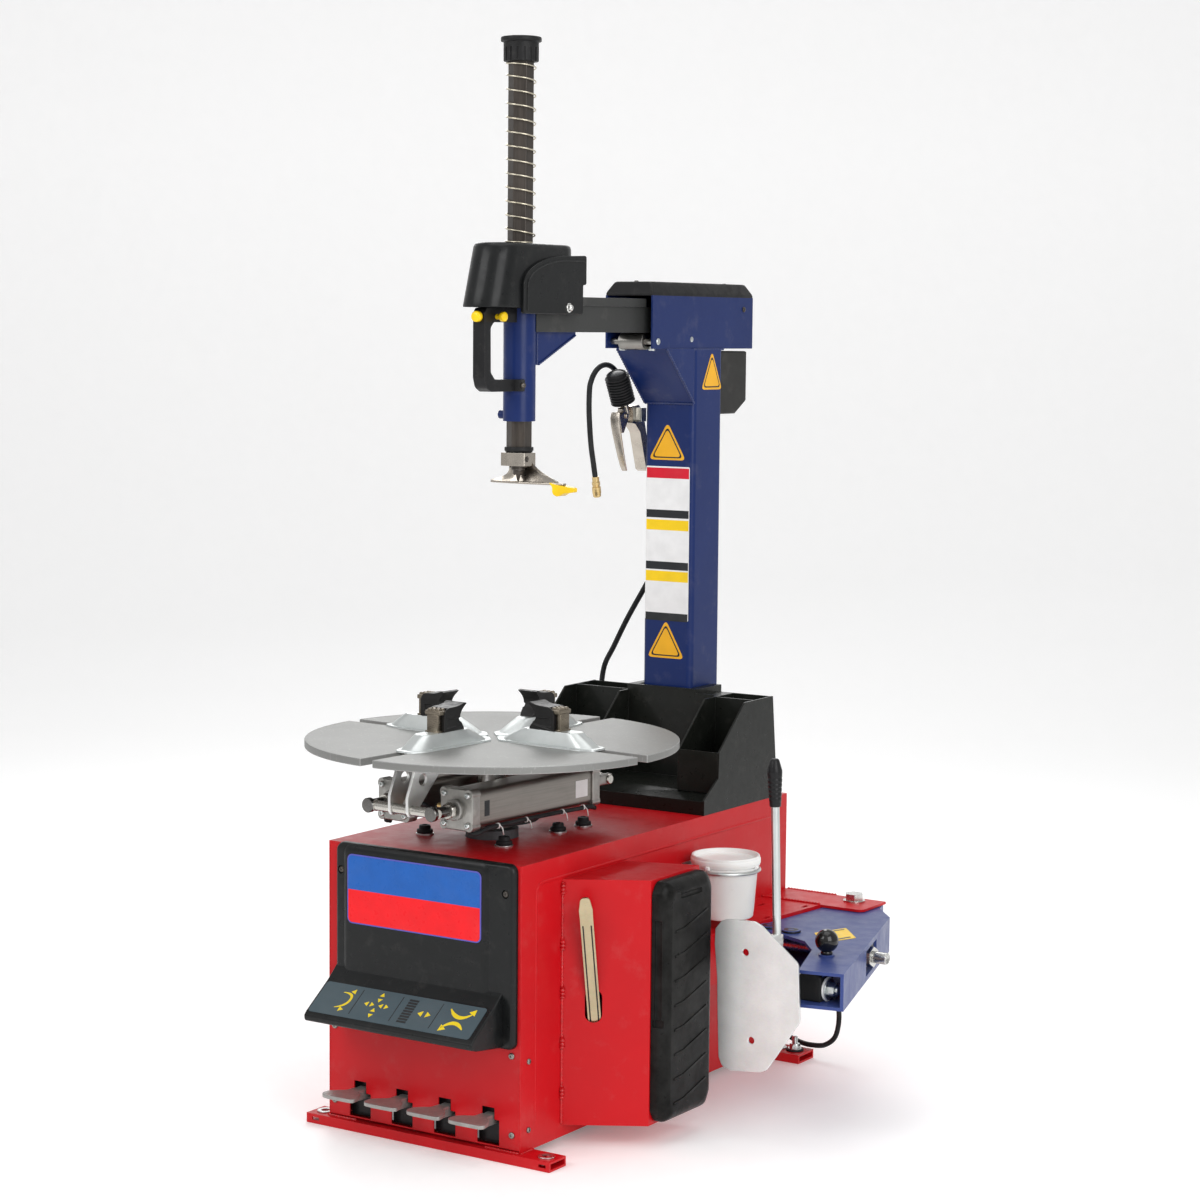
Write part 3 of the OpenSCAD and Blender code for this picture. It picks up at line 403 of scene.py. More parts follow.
# ---------------------------------------------------------------- materials
RED = (0.52, 0.0042, 0.0085)
BLUE = (0.0072, 0.021, 0.108)
ZINC = (0.66, 0.69, 0.685)
powder("red_paint", RED)
powder("blue_paint", BLUE, rough=0.33, coat=0.35, light=1.6)
powder("arm_blue_paint", (0.038, 0.062, 0.215), rough=0.36, coat=0.3, light=1.5)
powder("grey_paint", (0.040, 0.041, 0.040), rough=0.42, coat=0.1, light=1.8)
powder("grey_cover", (0.026, 0.0255, 0.024), rough=0.44, coat=0.05, light=1.8)
powder("motor_paint", (0.06, 0.13, 0.20), rough=0.4, coat=0.2)
plastic("black_abs", (0.0075, 0.0082, 0.0085), rough=0.32, grain=1100, grain_bump=0.10,
        coat=0.10)
plastic("black_tray", (0.0085, 0.0095, 0.0078), rough=0.32, grain=900, grain_bump=0.12,
        coat=0.10)
plastic("black_cap", (0.013, 0.013, 0.0135), rough=0.46, grain=1000, grain_bump=0.2)
plastic("black_nylon", (0.010, 0.010, 0.011), rough=0.38, grain=1000, grain_bump=0.12,
        coat=0.1)
plastic("yellow_plastic", (0.90, 0.58, 0.010), rough=0.30, grain=900, grain_bump=0.08,
        coat=0.3, wear=0.15)
milky("white_plastic", (0.86, 0.86, 0.84), scatter=0.25)
milky("lid_plastic", (0.72, 0.66, 0.55), scatter=0.35)
plastic("knob_bakelite", (0.006, 0.006, 0.006), rough=0.16, grain=500, grain_bump=0.02,
        coat=0.6, wear=0.1)
rubber("pad_rubber", (0.0045, 0.0043, 0.0038), rough=0.34, grain=300)
rubber("cap_rubber", (0.012, 0.012, 0.013), rough=0.45, grain=900)
rubber("belt_rubber", (0.012, 0.012, 0.012))
rubber("hose_rubber", (0.016, 0.017, 0.018), rough=0.42, grain=900)
table_steel()
steel("zinc_steel", ZINC, rough=0.30, streak=30, tint=0.03, dark=0.06)
steel("jaw_zinc", ZINC, rough=0.42, streak=22, tint=0.02, dark=0.05)
steel("post_steel", (0.25, 0.215, 0.17), rough=0.28, stretch=(1, 1, 8), streak=90,
      tint=0.05, dark=0.2)
steel("zinc_plate", (0.80, 0.80, 0.79), rough=0.36, stretch=(1, 1, 12), streak=240,
      tint=0.03, spangle=0.08, dark=0.12)
steel("bright_steel", (0.66, 0.66, 0.64), rough=0.24, streak=40, tint=0.03, dark=0.1)
steel("polished_steel", (0.56, 0.54, 0.50), rough=0.22, stretch=(1, 12, 1), streak=120,
      tint=0.04, dark=0.18)
black_steel()
steel("screw_steel", (0.30, 0.29, 0.27), rough=0.30, streak=60, tint=0.02, dark=0.2)
steel("spring_steel", (0.62, 0.57, 0.46), rough=0.25, streak=500, tint=0.2)
cast("cast_steel", (0.34, 0.33, 0.315), rough=0.42, metal=0.55, bump=0.10, grain=300,
     light=1.5)
cast("claw_steel", (0.022, 0.021, 0.021), rough=0.42, metal=0.5, bump=0.25, grain=500,
     light=2.2)
steel("nickel_cast", (0.50, 0.455, 0.40), rough=0.22, streak=40, tint=0.05, dark=0.18)
steel("rod_dark", (0.16, 0.155, 0.15), rough=0.20, stretch=(1, 12, 1), streak=120,
      tint=0.02, dark=0.2)
cast("gearbox_iron", (0.10, 0.105, 0.11), rough=0.55, metal=0.4)
cast("pulley_iron", (0.35, 0.35, 0.35), rough=0.4, metal=0.9, bump=0.15)
cylinder_alloy()
cast("flange_alloy", (0.36, 0.35, 0.33), rough=0.42, metal=0.9, bump=0.25, grain=500,
     light=1.2)
steel("lever_steel", (0.50, 0.42, 0.27), rough=0.32, stretch=(1, 1, 10), streak=160,
      tint=0.3, spangle=0.05, dark=0.15)
plastic("white_tie", (0.75, 0.75, 0.73), rough=0.4, grain=900, grain_bump=0.05)
steel("brass", (0.66, 0.48, 0.22), rough=0.3, streak=300, tint=0.1)
painted_weld("blue_weld", BLUE)
painted_weld("red_weld", RED)
sticker("badge", (0.010, 0.105, 0.42), rough=0.3, lower=(0.84, 0.006, 0.012), split=0.4530)
for name, color, rough in (
        ("badge_rim", (0.10, 0.10, 0.45), 0.35),
        ("legend", (0.062, 0.090, 0.105), 0.4),
        ("legend_mark", (0.80, 0.60, 0.02), 0.35),
        ("legend_line", (0.02, 0.022, 0.024), 0.35),
        ("amber", (0.83, 0.42, 0.02), 0.35),
        ("amber_light", (0.90, 0.60, 0.012), 0.35),
        ("label_white", (0.80, 0.80, 0.80), 0.35),
        ("label_red", (0.62, 0.012, 0.03), 0.35),
        ("label_dark", (0.020, 0.022, 0.025), 0.35),
        ("label_blue", (0.03, 0.05, 0.22), 0.35)):
    sticker(name, color, rough)


# ---------------------------------------------------------------- mesh tools
def metres(p):
    return Vector((p[0] * MM_TO_M, p[1] * MM_TO_M, p[2] * MM_TO_M))


def join(*meshes):
    joined = bmesh.new()
    for bm in meshes:
        data = bpy.data.meshes.new("t")
        bm.to_mesh(data)
        bm.free()
        joined.from_mesh(data)
        bpy.data.meshes.remove(data)
    return joined


def moved(bm, matrix):
    bmesh.ops.transform(bm, matrix=matrix, verts=bm.verts)
    return bm


def axes_matrix(x, y, z, origin):
    matrix = Matrix((x, y, z)).transposed().to_4x4()
    matrix.translation = metres(origin)
    return matrix


def along(origin, axis):
    """matrix that lays local +z along an axis at origin"""
    z = Vector(axis).normalized()
    x = Vector(PLUS_X if abs(z.x) < 0.9 else PLUS_Y)
    x = (x - z * x.dot(z)).normalized()
    return axes_matrix(x, z.cross(x), z, origin)


def ring(outline, axis, level):
    """flat outline set square to an axis, in 3D"""
    return [{"x": (level, p[0], p[1]), "y": (p[0], level, p[1]),
             "z": (p[0], p[1], level)}[axis] for p in outline]


def add_sides(bm, rings):
    for lower, upper in zip(rings, rings[1:]):
        for i in range(len(lower)):
            j = (i + 1) % len(lower)
            bm.faces.new((lower[i], lower[j], upper[j], upper[i]))


def add_caps(bm, rings):
    bm.faces.new(rings[0])
    bm.faces.new(rings[-1])


def face_out(bm):
    bmesh.ops.recalc_face_normals(bm, faces=bm.faces)
    return bm


def prism(outline, axis, start, stop, cuts=0):
    """flat outline pulled along an axis"""
    bm = bmesh.new()
    rings = [[bm.verts.new(metres(p))
              for p in ring(outline, axis, start + (stop - start) * i / (cuts + 1))]
             for i in range(cuts + 2)]
    add_caps(bm, rings)
    add_sides(bm, rings)
    return face_out(bm)


def loft(rings):
    """skin over 3D rings of equal length, closed at both ends"""
    bm = bmesh.new()
    rings = [[bm.verts.new(metres(p)) for p in points] for points in rings]
    add_sides(bm, rings)
    add_caps(bm, rings)
    bmesh.ops.remove_doubles(bm, verts=bm.verts, dist=1e-7)
    return face_out(bm)


def block(low, high, radius=1.0, seg=3):
    bm = bmesh.new()
    bmesh.ops.create_cube(bm, size=1)
    for v in bm.verts:
        v.co = metres([low[i] + (high[i] - low[i]) * (v.co[i] + 0.5) for i in range(3)])
    if radius > 0:
        bmesh.ops.bevel(bm, geom=list(bm.edges), offset=radius * MM_TO_M, segments=seg,
                        profile=0.5, affect="EDGES")
    return bm


def circle_point(radius, i, seg, z):
    angle = 2 * math.pi * i / seg
    return (radius * MM_TO_M * math.cos(angle), radius * MM_TO_M * math.sin(angle),
            z * MM_TO_M)


def lathe(profile, origin=(0, 0, 0), axis=UP, seg=48):
    """profile of (radius, height) turned about the axis through origin"""
    bm = bmesh.new()
    rings = []
    for radius, height in profile:
        if radius < 1e-6:
            rings.append([bm.verts.new((0, 0, height * MM_TO_M))])
        else:
            rings.append([bm.verts.new(circle_point(radius, i, seg, height))
                          for i in range(seg)])
    for lower, upper in zip(rings, rings[1:]):
        for i in range(seg):
            j = (i + 1) % seg
            if len(lower) == 1 and len(upper) == 1:
                continue
            if len(lower) == 1:
                bm.faces.new((lower[0], upper[i], upper[j]))
            elif len(upper) == 1:
                bm.faces.new((lower[i], lower[j], upper[0]))
            else:
                bm.faces.new((lower[i], lower[j], upper[j], upper[i]))
    first, last = profile[0], profile[-1]
    open_ended = abs(first[0] - last[0]) > 1e-6 or abs(first[1] - last[1]) > 1e-6
    if len(rings[0]) > 1 and len(rings[-1]) > 1 and open_ended:
        add_caps(bm, rings)
    bmesh.ops.remove_doubles(bm, verts=bm.verts, dist=1e-7)
    return moved(face_out(bm), along(origin, axis))


def bar(radius, length, origin, axis=UP, seg=48):
    """plain round bar, also used to cut holes"""
    return lathe([(0, 0), (radius, 0), (radius, length), (0, length)], origin, axis, seg)


def spline(points, steps=10):
    """Catmull-Rom curve through the points"""
    points = [Vector(p) for p in points]
    ends = [points[0] * 2 - points[1]], [points[-1] * 2 - points[-2]]
    points = ends[0] + points + ends[1]
    path = []
    for i in range(1, len(points) - 2):
        a, b, c, d = points[i - 1:i + 3]
        for k in range(steps):
            t = k / steps
            path.append(0.5 * ((2 * b) + (c - a) * t + (2 * a - 5 * b + 4 * c - d) * t * t
                               + (3 * b - a - 3 * c + d) * t ** 3))
    path.append(points[-2])
    return path


def tube(path, radius, seg=14):
    """round tube along a path; radius is a number or a function of 0..1"""
    points = [metres(p) for p in path]
    last = len(points) - 1
    bm = bmesh.new()
    tangents = [(points[min(i + 1, last)] - points[max(i - 1, 0)]).normalized()
                for i in range(last + 1)]
    normal = tangents[0].orthogonal().normalized()
    rings = []
    for i, (center, tangent) in enumerate(zip(points, tangents)):
        normal = (normal - tangent * normal.dot(tangent)).normalized()
        side = tangent.cross(normal)
        size = (radius(i / last) if callable(radius) else radius) * MM_TO_M
        angles = [2 * math.pi * k / seg for k in range(seg)]
        rings.append([bm.verts.new(center + normal * size * math.cos(angle)
                                   + side * size * math.sin(angle)) for angle in angles])
    add_sides(bm, rings)
    add_caps(bm, rings)
    return face_out(bm)


def rounded_rect(width, height, radius, steps=6, x=0, y=0):
    """rounded rectangle about (x, y)"""
    outline = []
    for side_x, side_y, start in ((1, 1, 0), (-1, 1, 90), (-1, -1, 180), (1, -1, 270)):
        for k in range(steps + 1):
            angle = math.radians(start + 90 * k / steps)
            outline.append((x + side_x * (width / 2 - radius) + radius * math.cos(angle),
                            y + side_y * (height / 2 - radius) + radius * math.sin(angle)))
    return outline


def bend(start, middle, end, steps):
    """quadratic curve between two points"""
    start, middle, end = Vector(start), Vector(middle), Vector(end)
    return [tuple(start * (1 - t) ** 2 + middle * 2 * t * (1 - t) + end * t * t)
            for t in [i / steps for i in range(steps + 1)]]


def round_corners(points, radius, steps=5):
    """polygon with eased corners; radius is one value, or one for each point"""
    keep = [i for i in range(len(points))
            if (Vector(points[i]) - Vector(points[i - 1])).length > 1e-6]
    each = isinstance(radius, (list, tuple))
    radii = [radius[i] if each else radius for i in keep]
    points = [Vector(points[i]) for i in keep]
    outline = []
    for i, (corner, size) in enumerate(zip(points, radii)):
        back = points[i - 1] - corner
        ahead = points[(i + 1) % len(points)] - corner
        room = back.length, ahead.length
        back.normalize()
        ahead.normalize()
        angle = back.angle(ahead)
        if size <= 0 or abs(angle - math.pi) < 0.02:
            outline.append(tuple(corner))
            continue
        inset = min(size / math.tan(angle / 2), room[0] * 0.48, room[1] * 0.48)
        outline += bend(corner + back * inset, corner, corner + ahead * inset, steps)
    return outline


def cut(bm, *cutters):
    """the first mesh less the others"""
    def temporary(source):
        data = bpy.data.meshes.new("cut")
        source.to_mesh(data)
        source.free()
        thing = bpy.data.objects.new("cut", data)
        bpy.context.scene.collection.objects.link(thing)
        return thing

    target = temporary(bm)
    things = [target]
    for cutter in cutters:
        things.append(temporary(cutter))
        boolean = target.modifiers.new("cut", "BOOLEAN")
        boolean.operation = "DIFFERENCE"
        boolean.solver = "EXACT"
        boolean.object = things[-1]
    graph = bpy.context.evaluated_depsgraph_get()
    data = bpy.data.meshes.new_from_object(target.evaluated_get(graph))
    result = bmesh.new()
    result.from_mesh(data)
    for thing in things:
        bpy.data.objects.remove(thing)
    bpy.data.meshes.remove(data)
    return result


# ---------------------------------------------------------------- pieces
def piece(name, bm, material, body, bevel=0.0, seg=2, angle=32, smooth=38, replaces=None,
          slot=None):
    """makes the object: bevels edges sharper than angle, shades smooth up to smooth degrees,
    and rides on body; slot is not used"""
    data = bpy.data.meshes.new(name)
    bmesh.ops.remove_doubles(bm, verts=bm.verts, dist=2e-6)
    if bevel > 0:
        bm.normal_update()
        sharp = [e for e in bm.edges
                 if len(e.link_faces) == 2 and e.calc_face_angle(0) > math.radians(angle)]
        if sharp:
            bmesh.ops.bevel(bm, geom=sharp, offset=bevel * MM_TO_M, segments=seg,
                            profile=0.5, affect="EDGES", clamp_overlap=True,
                            loop_slide=True)
            bmesh.ops.remove_doubles(bm, verts=bm.verts, dist=2e-6)
    if any(face.calc_area() < 1e-12 for face in bm.faces):
        bmesh.ops.dissolve_degenerate(bm, dist=1e-6, edges=bm.edges)
    bm.normal_update()
    bm.to_mesh(data)
    bm.free()
    for face in data.polygons:
        face.use_smooth = True
    data.set_sharp_from_angle(angle=math.radians(smooth))
    thing = bpy.data.objects.new(name, data)
    bpy.context.scene.collection.objects.link(thing)
    data.materials.append(MATERIALS[material])
    if bevel > 0:
        weighted = thing.modifiers.new("wn", "WEIGHTED_NORMAL")
        weighted.keep_sharp = True
    if body:
        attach(thing, body)
    if replaces:
        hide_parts(replaces)
    slot = slot or material
    return thing


def refine(node, bevel, seg=2, material=None, smooth=38):
    """the CAD node's own shape with its edges rounded"""
    bm = bmesh.new()
    bm.from_mesh(NODES[node].data)
    bmesh.ops.remove_doubles(bm, verts=bm.verts, dist=1.5e-5)
    bmesh.ops.dissolve_degenerate(bm, dist=1e-6, edges=bm.edges)
    bm.normal_update()
    bmesh.ops.dissolve_limit(bm, angle_limit=math.radians(0.6), verts=bm.verts,
                             edges=bm.edges)
    bm.normal_update()
    piece(node + "_finished", bm, material or NODE_SLOT[node], NODE_BODY[node], bevel, seg,
          34, smooth, replaces=node, slot=NODE_SLOT[node])


def hex_head(origin, axis, flats, height, washer=0.0, washer_height=1.6):
    """bolt head or nut, flats wide; washer is the radius of a washer under it"""
    base = washer_height if washer else 0
    bm = bmesh.new()

    def hex_ring(limit, z):
        verts = []
        for i in range(24):
            angle = (2 * math.pi * i / 24 + math.pi / 6) % (math.pi / 3) - math.pi / 6
            radius = min(flats / 2 / math.cos(angle), limit)
            verts.append(bm.verts.new(circle_point(radius, i, 24, z)))
        return verts

    corner = flats / math.sqrt(3) * 1.001
    rings = [hex_ring(corner, base), hex_ring(corner, base + height * 0.82),
             hex_ring(flats / 2 * 0.985, base + height),
             hex_ring(flats / 2 * 0.55, base + height)]
    add_sides(bm, rings)
    add_caps(bm, rings)
    moved(face_out(bm), along(origin, axis))
    if washer:
        profile = [(0, 0), (washer - 0.4, 0), (washer, 0.4), (washer, base - 0.4),
                   (washer - 0.4, base), (0, base)]
        bm = join(bm, lathe(profile, origin, axis, 32))
    return bm


def pan_head(origin, axis, radius, height):
    """domed screw head with a round socket; profile in parts of radius and height"""
    profile = [(0, 0), (1, 0), (1, 0.35), (0.93, 0.7), (0.75, 0.93), (0.5, 1), (0.42, 1),
               (0.38, 0.45), (0, 0.45)]
    return lathe([(radius * r, height * h) for r, h in profile], origin, axis, 24)


def screws(prefix, places, axis, radius, height, material, body, slot=None):
    for i, place in enumerate(places):
        piece(f"{prefix}_{i}", pan_head(place, axis, radius, height), material, body,
              slot=slot)


def welds(prefix, seams, radius, material, body):
    """rippled beads, one for each (start, end)"""
    for index, (start, end) in enumerate(seams):
        run = Vector(end) - Vector(start)
        steps = max(8, int(run.length / 2.2))
        path = [Vector(start) + run * (i / steps) for i in range(steps + 1)]

        def ripple(t):
            return radius * (1 + 0.35 * math.sin(t * steps * 2.1))
        piece(f"{prefix}_{index}", tube(path, ripple, 8), material, body, smooth=80)


def decal(name, outline, surface, material, thick, lift=0.0):
    """thin printed sheet; surface is its body, origin, x direction and y direction"""
    body, origin, x, y = surface
    x = Vector(x).normalized()
    y = Vector(y).normalized()
    matrix = axes_matrix(x, y, x.cross(y), origin)
    piece(name, moved(prism(outline, "z", lift, lift + thick), matrix), material, body)


# ================================================================ cabinet and base
SIDE_X = 215.0
BEAD_TOP = 495
ANCHORS = [(-235, -199), (262, -199), (-235, 681), (235, 681)]
refine("cabinet", 1.8, 3)
refine("front_panel", 1.0)
refine("base_channels", 1.6)


def bead_radius(t):
    """full along the bead, falling off at each end"""
    return 3.0 * min(1.0, t / 0.012 + 0.25, (1 - t) / 0.012 + 0.25)


# pressed bead lines on the side walls, flattened against the sheet
for side, tag in ((1, "r"), (-1, "l")):
    x = SIDE_X * side
    path = [(-166, 60), (-166, 470), (-164, 484), (-158, 492), (-146, BEAD_TOP)]
    path += [(-146 + (690 + 146) * i / 12, BEAD_TOP) for i in range(1, 13)]
    bead = tube(ring(path, "x", x), bead_radius, 10)
    for v in bead.verts:
        v.co.x = (x + (v.co.x / MM_TO_M - x) * 0.42) * MM_TO_M
    piece(f"side_bead_{tag}", bead, "red_paint", "base", smooth=60)
# folded lap of the front panel along both front corners
for side, tag in ((-1, "l"), (1, "r")):
    lap = [(side * 211.6, -213.0), (side * 213.0, -213.0), (side * 213.0, -212.0),
           (side * 211.6, -212.0)]
    piece(f"front_lap_{tag}", prism(lap, "z", 24, 528), "red_paint", "base", 0.3)
welds("foot_weld", [
    ((215.5, -172, 18), (215.5, -214, 18)), ((215.5, 652, 18), (215.5, 710, 18)),
    ((-215.5, -172, 18), (-215.5, -214, 18)), ((-215.5, 652, 18), (-215.5, 710, 18)),
    ((-214, -213.5, 18.5), (-150, -213.5, 18.5)),
    ((140, -213.5, 18.5), (214, -213.5, 18.5))], 2.4, "red_weld", "base")
screws("panel_screw", [(-201, -212.5, 189), (196, -212.5, 192), (197, -212.5, 49),
                       (-201, -212.5, 49)],
       MINUS_Y, 6.0, 3.4, "screw_steel", "base", slot="zinc_steel")
screws("side_screw", [(SIDE_X, -188, 180), (SIDE_X, -188, 56)], PLUS_X, 5.4, 3.2,
       "screw_steel", "base", slot="zinc_steel")
# bushes on the channel ends
BUSH = [(8.2, 18), (15, 18), (15.5, 18.5), (15.5, 20.0), (15, 20.6), (8.2, 20.6), (8.2, 18)]
for i, (x, y) in enumerate(ANCHORS):
    piece(f"anchor_bush_{i}", lathe(BUSH, (x, y, 0), seg=32), "zinc_steel", "base")

# ---- moulded control cover
# rows: y, x from, x to, z from, z to, corner radius
COVER_PLATE = [
    (-212.6, -190, 208, 204, 536, 15), (-219, -189.6, 207.6, 204.4, 535.6, 15),
    (-223.4, -188.0, 206, 206, 534, 14), (-225.5, -185.4, 203.4, 208.6, 531.4, 13),
    (-226, -182, 200, 212, 528, 12)]
COVER_FIELD = [
    (-225.6, -170, 156, 270, 534, 18), (-227, -168.5, 154.5, 272, 532.5, 17),
    (-228.6, -165, 151, 277, 529, 15), (-229.7, -162, 148, 281, 525.8, 13),
    (-230, -159, 145, 285, 523, 12)]
# side view of the console: y, z
CONSOLE = [(-212.7, 312), (-224, 308), (-232, 300), (-250, 284), (-311, 239.5),
           (-318, 232), (-316.5, 222), (-300, 217), (-230, 208), (-212.7, 208)]
COVER_SCREWS = ((-177, 485), (189, 483))


def cover_loft(rows):
    return loft([ring(rounded_rect(x1 - x0, z1 - z0, radius, 8, (x0 + x1) / 2,
                                   (z0 + z1) / 2), "y", y)
                 for y, x0, x1, z0, z1, radius in rows])


recesses = [lathe([(0, 0), (8.2, 0), (6.2, 4.2), (0, 4.2)], (x, -226.5, z), PLUS_Y, 28)
            for x, z in COVER_SCREWS]
piece("cover_plate", cut(cover_loft(COVER_PLATE), *recesses), "black_abs", "base",
      replaces="control_cover", smooth=50)
piece("cover_field", cover_loft(COVER_FIELD), "black_abs", "base", smooth=50)
piece("cover_console",
      prism(round_corners(CONSOLE, [0, 8, 8, 14, 10, 6, 6, 10, 6, 0]), "x", -190, 184),
      "black_abs", "base", 3.2, 4, 40, smooth=50)
screws("cover_screw", [(x, -222.6, z) for x, z in COVER_SCREWS], MINUS_Y, 6.0, 2.6,
       "black_steel", "base")


def badge(name, grow, front, back, bevel):
    """badge outline grown on every side"""
    outline = rounded_rect(299 + 2 * grow, 128 + 2 * grow, 11 + grow, 8, -8.5, 454)
    piece(name, prism(outline, "y", front, back), name.replace("_face", ""), "base", bevel)


badge("badge_rim", 0, -231.1, -229.6, 0.4)
badge("badge_face", -2.6, -231.7, -230.2, 0.3)

# ---- legend plate on the console slope, with direction arrows
LEGEND = ("base", (0, -250.3, 283.5), PLUS_X, (0, 62 / 76.6, 45 / 76.6))
PLATE_THICK = 0.8


def mark(name, outline):
    decal(name, outline, LEGEND, "legend_mark", 0.25, PLATE_THICK)


def ribbon(name, start, middle, end, widths):
    """curved strip with a width at every step"""
    path = bend(start, middle, end, len(widths) - 1)
    left, right = [], []
    for i, (p, width) in enumerate(zip(path, widths)):
        before = Vector(path[max(0, i - 1)])
        after = Vector(path[min(len(path) - 1, i + 1)])
        run = (after - before).normalized()
        normal = Vector((-run.y, run.x))
        left.append(tuple(Vector(p) + normal * width / 2))
        right.append(tuple(Vector(p) - normal * width / 2))
    mark(name, left + right[::-1])


def arrowhead(name, center, direction, size):
    center = Vector(center)
    run = Vector(direction).normalized()
    normal = Vector((-run.y, run.x))
    mark(name, [tuple(center + run * size), tuple(center - run * size * 0.6 + normal * size),
                tuple(center - run * size * 0.6 - normal * size)])


decal("legend_plate", rounded_rect(358, 73, 6, 5, -6, -39.5), LEGEND, "legend", PLATE_THICK)
for i, x in enumerate((-97, -7, 81)):
    decal(f"legend_line_{i}", [(x - 0.7, -67), (x + 0.7, -67), (x + 0.7, -9), (x - 0.7, -9)],
          LEGEND, "legend_line", 0.25, PLATE_THICK)
ribbon("arrow_a", (-136, -22), (-108, -20), (-113, -40),
       [1, 2, 3, 4, 4.5, 5, 5, 5, 5, 5, 5])
arrowhead("arrow_b", (-114, -17), (0.4, 1), 6)
ribbon("arrow_c", (-113, -40), (-116, -52), (-136, -58),
       [5, 5, 5, 5, 5, 4.5, 4, 3.5, 3, 2, 1])
arrowhead("arrow_d", (-121, -60), (-0.6, -1), 6)
for i, (center, direction) in enumerate([
        ((-52, -14), (0, 1)), ((-52, -26), (0, -1)), ((-52, -50), (0, 1)),
        ((-52, -62), (0, -1)), ((-74, -38), (-1, 0)), ((-62, -38), (1, 0)),
        ((-42, -38), (-1, 0)), ((-30, -38), (1, 0))]):
    arrowhead(f"jaw_arrow_{i}", center, direction, 5.2)
for i in range(9):
    y = -14 - i * 6.2
    decal(f"tilt_bar_{i}", [(9, y - 2.1), (29, y - 2.1), (29, y + 2.1), (9, y + 2.1)],
          LEGEND, "legend_line", 0.5, PLATE_THICK)
arrowhead("tilt_l", (47, -39), (-1, 0), 6.5)
arrowhead("tilt_r", (63, -39), (1, 0), 6.5)
ribbon("turn_a", (102, -17), (128, -46), (150, -22), [2, 4, 6, 7, 8, 8, 8, 8, 7, 6, 5, 4, 3])
arrowhead("turn_at", (151, -17), (0.45, 1), 8)
ribbon("turn_b", (104, -61), (124, -34), (148, -58), [3, 4, 5, 6, 7, 8, 8, 8, 8, 7, 6, 4, 2])
arrowhead("turn_bt", (106, -62), (-0.7, -1), 8)

# ================================================================ side bracket, pad, shelf
refine("side_bracket", 3.0, 3)
refine("breaker_shelf", 2.2)
refine("tub_ring", 0.6)
welds("body_weld", [
    ((216, 126, 44), (216, 126, 486)), ((216, -85.5, 44), (216, -85.5, 486)),
    ((216, 214, 242), (216, 214, 332)), ((330, 736, 335.5), (218, 736, 335.5)),
    ((217, 634, 337), (349, 634, 337))], 2.6, "red_weld", "base")
welds("tack_weld", [((217.5, -86.5, z - 10), (217.5, -86.5, z + 10))
                    for z in (474, 372, 284, 192, 100)], 4.6, "red_weld", "base")
# the pad: a deep block facing +x, with a moulded edge and recesses
PAD_Y, PAD_Z = 85, 265.5
PAD_HALF = (85, 220.5)
PAD_OUTLINE = [(0, 66), (13, 45), (157, 45), (170, 66), (170, 466), (157, 486), (13, 486),
               (0, 466)]
# rows: x, inset, corner radius
PAD_ROWS = [(350.2, 1.5, 18), (352, 0, 18), (364, 0, 18), (370, 1.6, 17), (376, 6.0, 16),
            (380, 11.5, 14), (382.2, 17, 12), (382.6, 21, 11)]


def pad_ring(x, inset, radius):
    scale_y, scale_z = [(half - inset) / half for half in PAD_HALF]
    outline = [(PAD_Y + (y - PAD_Y) * scale_y, PAD_Z + (z - PAD_Z) * scale_z)
               for y, z in PAD_OUTLINE]
    return ring(round_corners(outline, radius), "x", x)


pad = cut(loft([pad_ring(*row) for row in PAD_ROWS]),
          block((358, -4, 236), (372, 4.4, 418), 2.4),
          block((354, -4, 222), (376, 6.4, 236), 2.4),
          block((379.4, 48, 452), (390, 122, 462), 3.0))
piece("pad_body", pad, "pad_rubber", "base", 1.1, 2, 40, replaces="bumper_pad", smooth=45)
ridges = []
for i in range(8):
    z = 76 + i * 45
    outline = round_corners([(30, z), (60, z + 1), (142, z + 25), (142, z + 30),
                             (60, z + 7), (30, z + 5)], [2, 4, 2, 2, 4, 2], 3)
    center = Vector((sum(p[0] for p in outline) / len(outline),
                     sum(p[1] for p in outline) / len(outline)))
    crest = [center + (Vector(p) - center) * 0.97 for p in outline]
    ridges.append(loft([ring(outline, "x", 382.2), ring(outline, "x", 383.5),
                        ring(crest, "x", 384.3)]))
piece("pad_tread", join(*ridges), "pad_rubber", "base", smooth=30)

# ================================================================ tray
refine("tool_tray", 1.3)
refine("pivot_pins", 0.9)
CAP_WASHER = [(0, 533), (16.6, 533), (17, 533.4), (17, 535.6), (16.6, 536), (0, 536)]
CAP_RUBBER = [(0, 536), (14.4, 536), (15, 536.8), (15, 541.2), (14.2, 542.6), (11.6, 543.4),
              (11, 544.2), (10.9, 548.0), (10.0, 550.4), (7.6, 551), (5.4, 551),
              (5.0, 549.2), (0, 549.0)]
for i, (x, y) in enumerate([(-109, -62), (78, -72), (80, 100), (84, 179)]):
    piece(f"cap_washer_{i}", lathe(CAP_WASHER, (x, y, 0), seg=36), "zinc_steel", "base",
          replaces="bolt_caps" if i == 0 else None)
    piece(f"cap_rubber_{i}", lathe(CAP_RUBBER, (x, y, 0), seg=36), "cap_rubber", "base")
